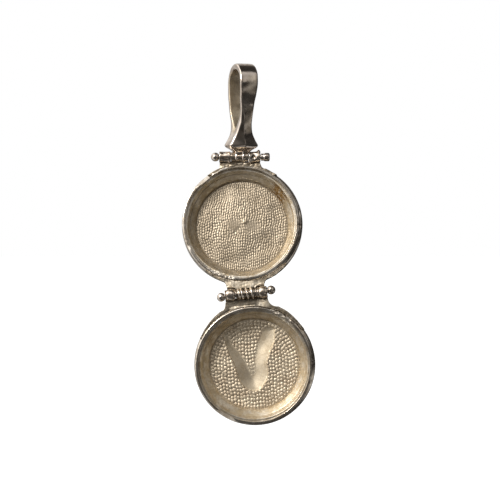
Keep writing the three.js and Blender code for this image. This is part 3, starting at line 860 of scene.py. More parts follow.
@dataclass
class CaseBand:
    """The side wall of a case, from the rim over the outside to the back and up the inside.

    Angles round the case start at across and turn towards up, in degrees. Pores, stain and
    painted_shade_span are spans of them: where the rim is porous, where the inner wall is stained brown and
    where painted shade darkens the inner wall.
    """

    name: str
    node: str
    body: str
    place: Place
    nick_angle: float
    seed: int
    rim_shift: Span
    pores: Span
    painted_shade: float
    stain: Span = (0.0, 0.0)
    painted_shade_span: Span = (75.0, 205.0)
    groove_shade_and_grime: float = 0.5
    corner_shade_and_grime: float = 0.6
    radius: float = 12.6
    rim_outer: float = 12.1
    rim_inner: float = 11.6
    ledge_inner: float = 11.2
    floor_edge: float = 9.4
    floor_seat: float = 10.2
    back_edge: float = 10.8
    rim_face: float = 0.05
    rim_slope: float = 0.5
    ledge_face: float = 0.95
    groove_face: float = 1.78
    groove_size: Span = (0.08, 0.02)
    groove_out: float = 0.25
    floor_face: float = 3.45
    back_face: float = 4.15
    cove: Span = (0.16, 0.62)
    step: float = 0.16
    segments: int = 300
    nick_radius: float = 8.0
    nick_depth: float = 0.35
    wobble: float = 0.035
    lip_wobble: float = 0.09
    ledge_wobble: float = 0.12
    face_wobble: float = 0.03
    chips: int = 14
    chip_angles: Span = (0.01, 0.05)
    chip_depths: Span = (0.03, 0.14)
    pore_lumps: Span = (0.07, 0.8)

    def profile(self) -> tuple[Array, Array]:
        """The wall's section, as corners of radius, depth, bend and how matt the surface is.

        Returns:
            The section's points as radius and depth, and how matt each is, up to 1 inside.
        """
        groove = (self.ledge_inner + self.floor_edge) / 2 + self.groove_out
        groove_wide, groove_half = self.groove_size
        corners = [
            (self.floor_edge, self.floor_face, 0.04, 1.0),
            (self.floor_edge + self.cove[0], self.floor_face - self.cove[1], 0.5, 1.0),
            (groove, self.groove_face + groove_half, 0.06, 1.0),
            (groove + groove_wide, self.groove_face - groove_half, 0.06, 1.0),
            (self.ledge_inner, self.ledge_face, 0.08, 0.8),
            (self.rim_inner, self.ledge_face, 0.06, 0.6),
            (self.rim_inner, self.rim_face, 0.1, 0.1),
            (self.rim_outer, self.rim_face, 0.14, 0.0),
            (self.radius, self.rim_face + self.rim_slope, 0.5, 0.0),
            (self.radius, self.back_face, 1.9, 0.0),
            (self.back_edge, self.back_face, 0.25, 0.5),
            (self.floor_seat, self.back_face, 0.04, 0.7),
            (self.floor_seat, self.floor_face, 0.02, 0.0),
        ]
        return rounded(corners, self.step)

    def grid(self) -> tuple[Array, Array, Array]:
        """The wall as a grid, with rows along the section and columns round the case.

        The radius is the section's plus ripples, most at the lip and the ledge. Chips and pores press the
        rim in, and the rim is shifted sideways, which fades towards the floor and the outside.

        Returns:
            The points, how matt each row is, and the angle of each column.
        """
        section, matt = self.profile()
        angle = np.linspace(0, 2 * np.pi, self.segments, endpoint=False)[None]
        radius, depth = section[:, :1], section[:, 1:]
        near_rim = 1 - smooth(depth, 0.2, 3.2)
        lip = line_at(radius, self.rim_inner, 0.25) * near_rim
        ledge = line_at(radius, self.ledge_inner, 0.3) * near_rim
        uneven = ripple(angle, self.seed, self.wobble) + lip * ripple(angle, self.seed + 1, self.lip_wobble)
        uneven = uneven + ledge * ripple(angle, self.seed + 2, self.ledge_wobble)
        off_seat = smooth(radius, self.floor_seat + 0.05, self.floor_seat + 0.5)
        uneven = uneven * np.maximum(off_seat, depth < self.floor_face - 0.3)
        rim_depth = depth + near_rim * ripple(angle, self.seed + 3, self.face_wobble)
        points = around_depth(radius + uneven, rim_depth, angle)
        rng = np.random.default_rng(self.seed + 9)
        edge = line_at(radius, self.rim_outer + 0.1, 0.3) * (depth < 0.6)
        spans = ((0, 2 * np.pi), self.chip_angles, self.chip_depths)
        for at, wide, deep in zip(*(rng.uniform(*span, self.chips) for span in spans)):
            off = (angle - at + np.pi) % (2 * np.pi) - np.pi
            points[..., DEPTH] += deep * edge * line_at(off, 0.0, wide)
        porous = self.patch(angle, self.pores) * smooth(radius, 10.5, 11.0) * (1 - smooth(depth, 1.2, 1.8))
        points[..., DEPTH] += porous * lumps(points, self.seed, *self.pore_lumps)
        shift = (1 - smooth(depth, 0.3, 3.3)) * (1 - smooth(radius, self.rim_outer + 0.05, self.radius))
        points += shift[..., None] * np.array([self.rim_shift[0], 0.0, self.rim_shift[1]])
        return points, matt, angle

    def nick(self, points: Array) -> Array:
        """Files the nail nick: points within a ball outside the rim's edge are pushed out to its surface.

        Args:
            points: The wall's points.

        Returns:
            The points with the nick.
        """
        turn = math.radians(self.nick_angle)
        reach = (self.nick_radius - self.nick_depth) * math.sqrt(0.5)
        out = self.rim_outer + reach
        centre = np.array([out * math.cos(turn), self.rim_face - reach, out * math.sin(turn)])
        away = points - centre
        distance = np.linalg.norm(away, axis=-1, keepdims=True)
        return np.where(distance < self.nick_radius, centre + away / distance * self.nick_radius, points)

    @staticmethod
    def patch(angle: Array, span: Span) -> Array:
        """A mask round the case: 1 in a span of degrees with soft ends, and 0 all round for an empty span.

        Args:
            angle: The angle round the case, in radians.
            span: Where the patch starts and ends.

        Returns:
            The mask at each angle.
        """
        middle, half = sum(span) / 2, (span[1] - span[0]) / 2
        off = np.abs((np.degrees(angle) - middle + 180) % 360 - 180)
        return 1 - smooth(off, half * 0.6, half * 1.2) if half else np.zeros_like(angle)

    def build(self, shop: Workshop) -> None:
        """Builds and dresses the wall: darker in the corner under the rim and along the groove, partly grime
        and partly painted shade, and with painted shade over one side of the inner wall.

        Args:
            shop: The workshop.
        """
        points, matt, angle = self.grid()
        points = self.nick(points)
        depth = points[..., DEPTH]
        radius = np.hypot(points[..., ACROSS], points[..., UP])
        on_rim = (depth < 1.4) & (radius > 10.6)
        on_wall = (depth > 1.0) & (depth < self.floor_face + 0.05) & (radius > 9.3) & (radius < 11.4)
        # partly grime, partly painted shade: dark lines in the corner under the rim and along the groove
        corner = line_at(radius, self.rim_inner, 0.07) * (depth > self.ledge_face - 0.12) * (depth < 2.0)
        groove = line_at(depth, self.groove_face, 0.05) * (radius < self.ledge_inner)
        dirt_and_shade = self.corner_shade_and_grime * corner + self.groove_shade_and_grime * groove
        # painted shade over one side of the inner wall
        dirt_and_shade = dirt_and_shade + self.painted_shade * self.patch(angle, self.painted_shade_span) * on_wall
        values = {
            "inside": matt[:, None],
            "pores": self.patch(angle, self.pores) * on_rim,
            "stain": self.patch(angle, self.stain) * on_wall,
            "recess": np.clip(dirt_and_shade, 0, 1),
        }
        obj = make_piece(self.name, self.place, [grid_skin(points, along=True, values=values)])
        shop.dress(obj, CASE_METAL, self.body, self.node)


@dataclass
class Hollow:
    """The shape pressed into the lower floor: two arms that slope in to a scoop, as outlines across and up.

    Outer runs round the outside of both arms and inner round the pebbled tongue between them. Beyond closes
    the outer outline past the floor's edge. Ramp is pairs of how far down a point lies and how deep the
    hollow is there.
    """

    outer: tuple[Span, ...] = (
        (-5.75, 7.0), (-5.72, 5.4), (-5.45, 3.9), (-5.0, 2.2), (-4.4, 0.75), (-4.05, -0.8), (-3.7, -2.35),
        (-3.15, -3.75), (-2.4, -4.75), (-1.4, -5.38), (-0.2, -5.58), (0.85, -5.15), (1.85, -4.0),
        (2.5, -2.65), (2.68, -1.35), (2.6, 0.0), (3.05, 1.5), (3.95, 3.1), (4.6, 4.7), (4.72, 6.3),
        (4.45, 7.35),
    )
    inner: tuple[Span, ...] = (
        (2.7, 7.1), (1.65, 5.5), (0.8, 3.6), (0.4, 2.0), (0.1, 0.9), (-0.05, -0.7), (-0.35, -2.1),
        (-0.62, -2.7), (-0.95, -1.9), (-1.5, -0.1), (-2.3, 1.7), (-3.4, 3.3), (-4.4, 4.5), (-5.0, 6.2),
    )
    beyond: Span = (0.0, 9.5)
    ramp: tuple[Span, ...] = ((-8.5, 0.0), (-6.8, 0.5), (-5.0, 0.72), (-2.0, 0.9), (2.5, 0.98), (6.0, 0.98))
    wall: float = 0.24
    slope: float = 0.28
    softness: float = 0.2
    bowl_bare: float = 0.8

    @staticmethod
    def curve(points: Array) -> Array:
        """A smooth closed line through points: each stretch a cubic that keeps its neighbours' directions.

        Args:
            points: The points.

        Returns:
            Five points for each stretch.
        """
        steps = 5
        a, b, c, d = (np.roll(points, shift, axis=0)[:, None] for shift in (1, 0, -1, -2))
        t = np.linspace(0, 1, steps, endpoint=False)[None, :, None]
        line = 2 * b + (c - a) * t + (2 * a - 5 * b + 4 * c - d) * t**2 + (3 * b - a - 3 * c + d) * t**3
        return (line / 2).reshape(-1, 2)

    @staticmethod
    def inside_by(line: Array, x: Array, z: Array) -> Array:
        """How far inside a closed line each point lies, from its nearest stretch: negative outside.

        A point is inside if the way up from it crosses the line an odd number of times.

        Args:
            line: The line's points.
            x: Across.
            z: Up.

        Returns:
            The distances.
        """
        nearest = np.full(x.shape, np.inf)
        crossings = np.zeros(x.shape, int)
        for (ax, az), (bx, bz) in zip(line, np.roll(line, -1, axis=0)):
            nearest = np.minimum(nearest, gap_to(x, z, (ax, az), (bx, bz)))
            level = az + (bz - az) * (x - ax) / (bx - ax if bx != ax else 1e-9)
            crossings += ((ax > x) != (bx > x)) & (z < level)
        return np.where(crossings % 2 == 1, nearest, -nearest)

    def masks(self, x: Array, z: Array) -> tuple[Array, Array, Array]:
        """The hollow at each point of the floor.

        The depth is the smaller of a slope in from the outline and a ramp that deepens towards the bowl,
        with a soft change from one to the other.

        Args:
            x: Across.
            z: Up.

        Returns:
            How deep it is, how much of the surface is bare, and how far inside the arms the point is.
        """
        arms = self.inside_by(self.curve(np.array(self.outer + self.inner)), x, z)
        whole = self.inside_by(self.curve(np.array((*self.outer, self.beyond))), x, z)
        ramp = np.interp(-z, *zip(*self.ramp))
        sides = self.wall * smooth(whole, -0.05, 0.07) + self.slope * np.maximum(whole, 0)
        depth = 0.5 * (sides + ramp - np.sqrt((sides - ramp) ** 2 + self.softness**2)) + self.softness / 6
        depth = np.maximum(depth, 0) * smooth(whole, -0.1, 0.05)
        bowl = smooth(-z, -1.5, 2.5) * smooth(whole, 0.2, 0.6)
        bare = smooth(whole, -0.08, 0.1) * np.maximum(smooth(arms, -0.45, 0.35), bowl * self.bowl_bare)
        return depth, bare, arms


@dataclass(frozen=True)
class Scratch:
    """A straight mark on a floor: its ends across and up, its half width and depth, negative if raised."""

    start: Span
    end: Span
    wide: float
    deep: float


@dataclass
class CaseFloor:
    """A case's floor: a plate whose front is punched with pebbles.

    Pitch is the pebbles' spacing in a row and between rows, and dome their height. Worn holds the middle
    and the size of each patch rubbed bare, and most_bare how bare the barest place is.
    """

    name: str
    node: str
    body: str
    place: Place
    pebbles: Pebbles
    pitch: Span
    dome: float
    seed: int
    finish: Metal
    hollow: Hollow | None = None
    worn: tuple[tuple[Span, Span], ...] = ()
    scratches: tuple[Scratch, ...] = ()
    most_bare: float = 1.0
    bow: float = 0.42
    waver: float = 0.16
    stretch: float = 1.0
    gap_dirt: float = 0.5
    left_arm_painted_shade: float = 0.42
    radius: float = 10.17
    floor_edge: float = 9.4
    face: float = 3.54
    back: float = 4.15
    crown: float = 0.3
    uneven: Span = (0.05, 6.0)
    cells: int = 288

    def jitter(self, first: Array, second: Array) -> Array:
        """Three seeded numbers from -1 to 1 for each pebble, looked up by its two whole numbers."""
        table = np.random.default_rng(self.seed).uniform(-1, 1, (101, 103, 3))
        return table[first % 101, second % 103]

    def columns(self, x: Array, z: Array) -> Array:
        """Pebbles in upright columns that bow like meridians, waver in two waves and turn round one eddy.

        Each pebble is a half ellipsoid at its column and row, both a little off, and the highest counts.

        Args:
            x: Across.
            z: Up.

        Returns:
            The pebbles' height at each point, from 0 to 1.
        """
        waves = ((1.05, 0.35, 0.0, 1.0), (2.3, -0.8, 1.0, 0.55))
        eddy_centre, eddy_size, eddy_strength, eddy_level = (-0.1, 5.2), (2.0, 2.2), 3.0, 5
        half_size, size_jitter, across_jitter, down_jitter = 0.52, 0.12, 0.1, 0.12
        bowed = x / np.sqrt(1 - self.bow * np.clip(z / self.floor_edge, -1, 1) ** 2)
        swings = [share * np.sin(up * z + out * x + start) for up, out, start, share in waves]
        bowed = bowed + self.waver * sum(swings)
        eddy = eddy_strength * self.waver * (z - eddy_level) / eddy_size[1]
        bowed = bowed - eddy * bump_at(x, z, eddy_centre, eddy_size)
        across = bowed / self.pitch[0]
        best = np.zeros(x.shape)
        for step in (-1, 0, 1):
            column = np.round(across).astype(int) + step
            down = z / self.pitch[1] + 0.5 * (column % 2) + 0.25 * np.sin(column * 1.7)
            down = down + 0.1 * np.sin(x * 2.1)
            row = np.round(down).astype(int)
            jitter = self.jitter(column, row)
            size = 1 + size_jitter * jitter[..., 2]
            dx = (across - column - across_jitter * jitter[..., 0]) / (half_size * size)
            dz = (down - row - down_jitter * jitter[..., 1]) / (half_size * self.stretch * size)
            best = np.maximum(best, 1 - dx**2 - dz**2)
        return np.sqrt(best)

    def rings(self, x: Array, z: Array) -> Array:
        """Pebbles on rings round the middle, each ring with a whole number of pebbles and its own start.

        Args:
            x: Across.
            z: Up.

        Returns:
            The pebbles' height at each point, from 0 to 1.
        """
        half_size, size_jitter, place_jitter = 0.53, 0.14, 0.1
        radius, angle = np.hypot(x, z), np.arctan2(z, x)
        best = np.zeros(x.shape)
        for step in (-1, 0, 1):
            ring = np.maximum(np.round(radius / self.pitch[0]).astype(int) + step, 0)
            count = np.maximum(np.round(2 * np.pi * ring * self.pitch[0] / self.pitch[1]).astype(int), 1)
            turn = angle / (2 * np.pi) * count + 0.5 * (ring % 2) + 0.15 * np.sin(ring * 2.1)
            number = np.round(turn).astype(int)
            jitter = self.jitter(ring, number)
            size = 1 + size_jitter * jitter[..., 2]
            dr = (radius / self.pitch[0] - ring - place_jitter * jitter[..., 0]) / (half_size * size)
            dt = (turn - number - place_jitter * jitter[..., 1]) * 2 * np.pi * ring * self.pitch[0] / count
            best = np.maximum(best, 1 - dr**2 - (dt / (half_size * size * self.pitch[1])) ** 2)
        return np.sqrt(best)

    def disc(self, cells: int) -> tuple[Array, Array]:
        """A square grid carried onto the plate, where each coordinate shrinks as the other nears its edge."""
        s, t = np.meshgrid(np.linspace(-1, 1, cells + 1), np.linspace(-1, 1, cells + 1))
        return self.radius * s * np.sqrt(1 - t**2 / 2), self.radius * t * np.sqrt(1 - s**2 / 2)

    @staticmethod
    def border(cells: int) -> Array:
        """The numbers of a square grid's edge points, in order round it."""
        index = np.arange((cells + 1) ** 2).reshape(cells + 1, cells + 1)
        return np.concatenate([index[0, :-1], index[:-1, -1], index[-1, :0:-1], index[:0:-1, 0]])

    def front(self, x: Array, z: Array) -> tuple[Array, dict[str, Array]]:
        """The front surface: the face, less its crown and pebbles, plus the hollow, marks and unevenness.

        Args:
            x: Across.
            z: Up.

        Returns:
            The depth at each point, and its values recess, grime between the pebbles with painted shade
            on the left of the hollow's arms, and inside.
        """
        bare_depth, worn_strength = 0.05, 1.3
        out = np.hypot(x, z)
        domes = self.columns(x, z)
        if self.pebbles is Pebbles.RINGS:
            by_wall = smooth(out, 6.2, 6.7) * smooth(z, -2.5, -0.5)
            domes = mix(domes, self.rings(x, z), by_wall)
        sunk, bare, arms = np.zeros(x.shape), np.zeros(x.shape), np.full(x.shape, -1.0)
        if self.hollow:
            sunk, bare, arms = self.hollow.masks(x, z)
        for centre, size in self.worn:
            bare = np.maximum(bare, worn_strength * bump_at(x, z, centre, size))
        bare = np.clip(bare, 0, self.most_bare)
        fade = (1 - smooth(out, self.floor_edge - 0.35, self.floor_edge)) * (1 - bare)
        spots = np.stack([x, np.zeros_like(x), z], axis=-1)
        uneven = lumps(spots, self.seed, *self.uneven) * (1 - smooth(out, 8.0, 9.4))
        swell = self.crown * (1 - smooth(out, 0.0, self.floor_edge))
        depth = self.face - swell - self.dome * domes * fade + sunk + uneven
        depth = depth - bare_depth * bare * (sunk < 0.05)
        for scratch in self.scratches:
            mark = line_at(gap_to(x, z, scratch.start, scratch.end), 0.0, scratch.wide)
            depth = depth + scratch.deep * mark
        recess = (1 - domes) ** 1.5 * fade * self.gap_dirt
        # painted shade: darker over the left of the hollow's arms
        recess = recess + self.left_arm_painted_shade * smooth(arms, 0, 0.4) * smooth(-x, -0.2, 1.2)
        return depth, {"recess": recess, "inside": smooth(arms, -0.1, 0.1)}

    def build(self, shop: Workshop) -> None:
        """Builds the plate: a fine front grid, a back grid a third as fine, and a strip between their edges.

        Behind the hollow the back stands out as a boss, at least as far as the arms are raised.

        Args:
            shop: The workshop.
        """
        boss_rise, least_wall, boss_share = 0.8, 0.1, 1.05
        x, z = self.disc(self.cells)
        depth, values = self.front(x, z)
        coarse = self.cells // 3
        bx, bz = self.disc(coarse)
        behind = np.full(bx.shape, self.back)
        if self.hollow:
            sunk, _, arms = self.hollow.masks(bx, bz)
            scoop = np.maximum(sunk - least_wall, 0) * boss_share
            behind = behind + np.maximum(boss_rise * smooth(arms, -0.4, 0.05), scoop)
        count = x.size
        index = np.arange(count).reshape(x.shape)
        rear = count + np.arange(bx.size).reshape(bx.shape)
        edge, rear_edge = self.border(self.cells), count + self.border(coarse)
        f = np.append(edge, edge[0])
        f = [f[:-1:3], f[1::3], f[2::3], f[3::3]]
        b = [rear_edge, np.roll(rear_edge, -1)]
        strip = [(f[1], f[0], b[0]), (f[2], f[1], b[0]), (f[2], b[0], b[1]), (f[3], f[2], b[1])]
        faces = [grid_faces(index, around=False), grid_faces(rear, around=False)[:, ::-1]]
        faces += [np.stack([p, p, q, r], axis=-1) for p, q, r in strip]
        sheets = [np.stack(sheet, -1).reshape(-1, 3) for sheet in ((x, depth, z), (bx, behind, bz))]
        padded = {key: np.concatenate([value.ravel(), np.zeros(bx.size)]) for key, value in values.items()}
        skin = Skin(np.concatenate(sheets), np.concatenate(faces), padded)
        shop.dress(make_piece(self.name, self.place, [skin]), self.finish, self.body, self.node)


@dataclass(frozen=True)
class Dent:
    """A dent in a barrel: its station, its angle in degrees from top to front, its sizes and its depth."""

    station: float
    turn: float
    wide: float
    degrees: float
    deep: float


@dataclass
class Barrel:
    """A turned knuckle, wire or ball about the across axis, from a section of station, radius and bend.

    A bored section goes round a bore, and any other starts and ends on the axis. Lean is how far the rings
    slant. Below the crest radius, at both ends and in dents the surface is darkened, partly grime and partly
    painted shade, and grime_and_shade is how strong that is below the crest and at the ends.
    """

    name: str
    node: str
    body: str
    place: Place
    section: Section
    seed: int
    finish: Metal = HINGE_METAL
    bored: bool = True
    lean: float = 0.0
    uneven: float = 0.02
    dents: tuple[Dent, ...] = ()
    crest: float = 1.15
    grime_and_shade: float = 0.7
    outside: Span = (0.55, 0.9)
    wave: float = 2.2
    end_width: float = 0.16
    crest_fade: Span = (0.05, 0.25)
    dark_dent_depth: float = 0.3
    step: float = 0.08
    columns: int = 72

    def build(self, shop: Workshop) -> None:
        """Turns the section about the axis, with its dents, lean and unevenness, and dresses it.

        Args:
            shop: The workshop.
        """
        section, _ = rounded([(*corner, 0.0) for corner in self.section], self.step, closed=self.bored)
        angle = np.linspace(0, 2 * np.pi, self.columns, endpoint=False)[None]
        along, radius = section[:, :1], section[:, 1:]
        outer = smooth(radius, *self.outside)
        press = np.zeros(np.broadcast(along, angle).shape)
        for dent in self.dents:
            off = (np.degrees(angle) - dent.turn + 180) % 360 - 180
            press = press + dent.deep * bump_at(along, off, (dent.station, 0.0), (dent.wide, dent.degrees))
        points = around_across(along, radius - press * outer, angle)
        points[..., ACROSS] += self.lean * points[..., UP] * outer
        points += points * [0, 1, 1] * (lumps(points, self.seed, self.uneven, self.wave) * outer)[..., None]
        # partly grime, partly painted shade: darker in dents, at both ends and below the crest
        ends = line_at(along, along.min(), self.end_width) + line_at(along, along.max(), self.end_width)
        root_shade = smooth(self.crest - radius, *self.crest_fade) * outer
        dirt_and_shade = press / self.dark_dent_depth + self.grime_and_shade * np.maximum(ends, root_shade)
        skin = grid_skin(points, self.bored, not self.bored, {"recess": np.clip(dirt_and_shade, 0, 1)})
        shop.dress(make_piece(self.name, self.place, [skin]), self.finish, self.body, self.node)


def tube(start: float, end: float) -> Section:
    """The section of a plain knuckle with rounded ends, from one station to another."""
    radius, edge, bore_edge = 1.15, 0.2, 0.05
    return [(start, BORE, bore_edge), (start, radius, edge), (end, radius, edge), (end, BORE, bore_edge)]


def knob(start: float, end: float, collar: float) -> Section:
    """The section of a blob-like knuckle: a collar at its start, and a body that swells like a bead.

    Args:
        start: The collar's station.
        end: The station of the other end.
        collar: How long the collar is.

    Returns:
        The section.
    """
    collar_radius, end_radius, root, swell, fullness, cut = 1.1, 0.95, 0.86, 0.4, 0.8, 0.25
    middle, half = (start + collar + end) / 2, (end - start - collar) / 2
    line = [(start, BORE, 0.05), (start, collar_radius, 0.08), (start + collar, collar_radius, 0.08)]
    for t in np.linspace(cut, math.pi - cut, 13):
        line.append((middle - half * math.cos(t), root + swell * math.sin(t) ** fullness, 0.03))
    return line + [(end, end_radius, 0.08), (end, BORE, 0.05)]


def ribs(centres: tuple[float, ...], length: float) -> Section:
    """The section of a barrel with a collar at each end and a rounded rib at each centre.

    Args:
        centres: The ribs' stations.
        length: The barrel's length.

    Returns:
        The section.
    """
    collar_radius, root, crest, half = 1.1, 0.84, 1.25, 0.31
    collar, foot, end = 0.18, 0.22, length / 2
    line = [(-end, BORE, 0.04), (-end, collar_radius, 0.05), (collar - end, collar_radius, 0.05)]
    line.append((foot - end, root, 0.04))
    for centre in centres:
        for t in np.linspace(0, math.pi, 11):
            line.append((centre - half * math.cos(t), root + (crest - root) * math.sin(t), 0.02))
    return line + [(-station, radius, bend) for station, radius, bend in reversed(line[:4])]


def ball(seat: float, side: int) -> Section:
    """The section of a ball on a pin's end: a circle cut off where it meets the knuckle.

    Args:
        seat: The station where it is cut off.
        side: The way it points, -1 or 1.

    Returns:
        The section, from the seat outwards.
    """
    radius, rise = 0.93, 0.7
    turn = np.linspace(-math.asin(rise / radius), math.pi / 2, 15)[:-1]
    line = [(seat + side * (rise + radius * math.sin(t)), radius * math.cos(t), 0.03) for t in turn]
    return [(seat, 0.0, 0.0), *line, (seat + side * (rise + radius), 0.0, 0.0)]


def rod(half: float, flanges: tuple[float, ...] = ()) -> Section:
    """The section of a pin's wire, with a thin flange at each station given.

    Args:
        half: Half the wire's length.
        flanges: The flanges' stations.

    Returns:
        The section.
    """
    flange_radius, flange_half = 0.98, 0.03
    line = [(-half, 0.0, 0.0), (-half, WIRE, 0.05)]
    for station in flanges:
        near, far = station - flange_half, station + flange_half
        line += [(near, WIRE, 0.0), (near, flange_radius, 0.0), (far, flange_radius, 0.0), (far, WIRE, 0.0)]
    return line + [(half, WIRE, 0.05), (half, 0.0, 0.0)]


def thimble(seat: float) -> Section:
    """The section of the cap on a pin's end: a neck and a wider, round-ended body.

    Args:
        seat: The station where it meets the knuckle.

    Returns:
        The section, from the seat outwards.
    """
    neck, body, neck_end, shoulder, end = 0.76, 0.9, seat + 0.6, seat + 0.75, seat + 1.85
    cap = [(shoulder, body, 0.12), (end, body, 0.45), (end, 0.0, 0.0)]
    return [(seat, 0.0, 0.0), (seat, neck, 0.08), (neck_end, neck, 0.1)] + cap


@dataclass(frozen=True)
class Layout:
    """The frames of cases and hinges, down the locket from where a chain bears. Turns are in degrees."""

    bail_length: float = 18.23
    knuckle_offset: float = -0.3
    case_offset: float = 0.2
    case_drop: float = 14.1
    lid_offset: float = 0.5
    lid_drop: float = 14.85
    lid_span: float = 4.4
    back_tilt: float = 10.0
    skew: float = 5.15
    past_flat: float = 10.0
    pin_play: float = 0.3
    play_used: float = 0.85

    @property
    def bail_knuckle(self) -> Place:
        """The bail's own knuckle, upright."""
        return LOCKET.moved(self.knuckle_offset, -self.bail_length)

    @property
    def hanging(self) -> Place:
        """The frame at the bail's pin, tilted as the upper case is."""
        return LOCKET.moved(0.0, -self.bail_length).tilted(-self.back_tilt)

    @property
    def bail_hinge(self) -> Place:
        """The upper case's half of the bail's hinge."""
        return self.hanging.moved(self.knuckle_offset)

    @property
    def upper_case(self) -> Place:
        """The upper case's centre, at its rim."""
        return self.hanging.moved(self.case_offset, -self.case_drop)

    @property
    def lid_hinge(self) -> Place:
        """The lid hinge, skew to the upper case."""
        return self.upper_case.skewed(-self.skew).moved(-self.lid_offset, -self.lid_drop)

    @property
    def upper_half(self) -> Place:
        """The upper case's half of the lid hinge, upside down."""
        return self.lid_hinge.skewed(180.0)

    @property
    def lower_half(self) -> Place:
        """The lower case's half of the lid hinge, let down past flat."""
        return self.lid_hinge.tilted(self.past_flat)

    @property
    def lower_case(self) -> Place:
        """The lower case's centre, at its rim."""
        return self.lower_half.moved(self.lid_offset, -self.lid_drop)

    @property
    def case_pin(self) -> Place:
        """The lid hinge's pin, which leans by most of its play over the hinge's span."""
        return self.lid_hinge.skewed(-math.degrees(math.asin(self.play_used * self.pin_play / self.lid_span)))


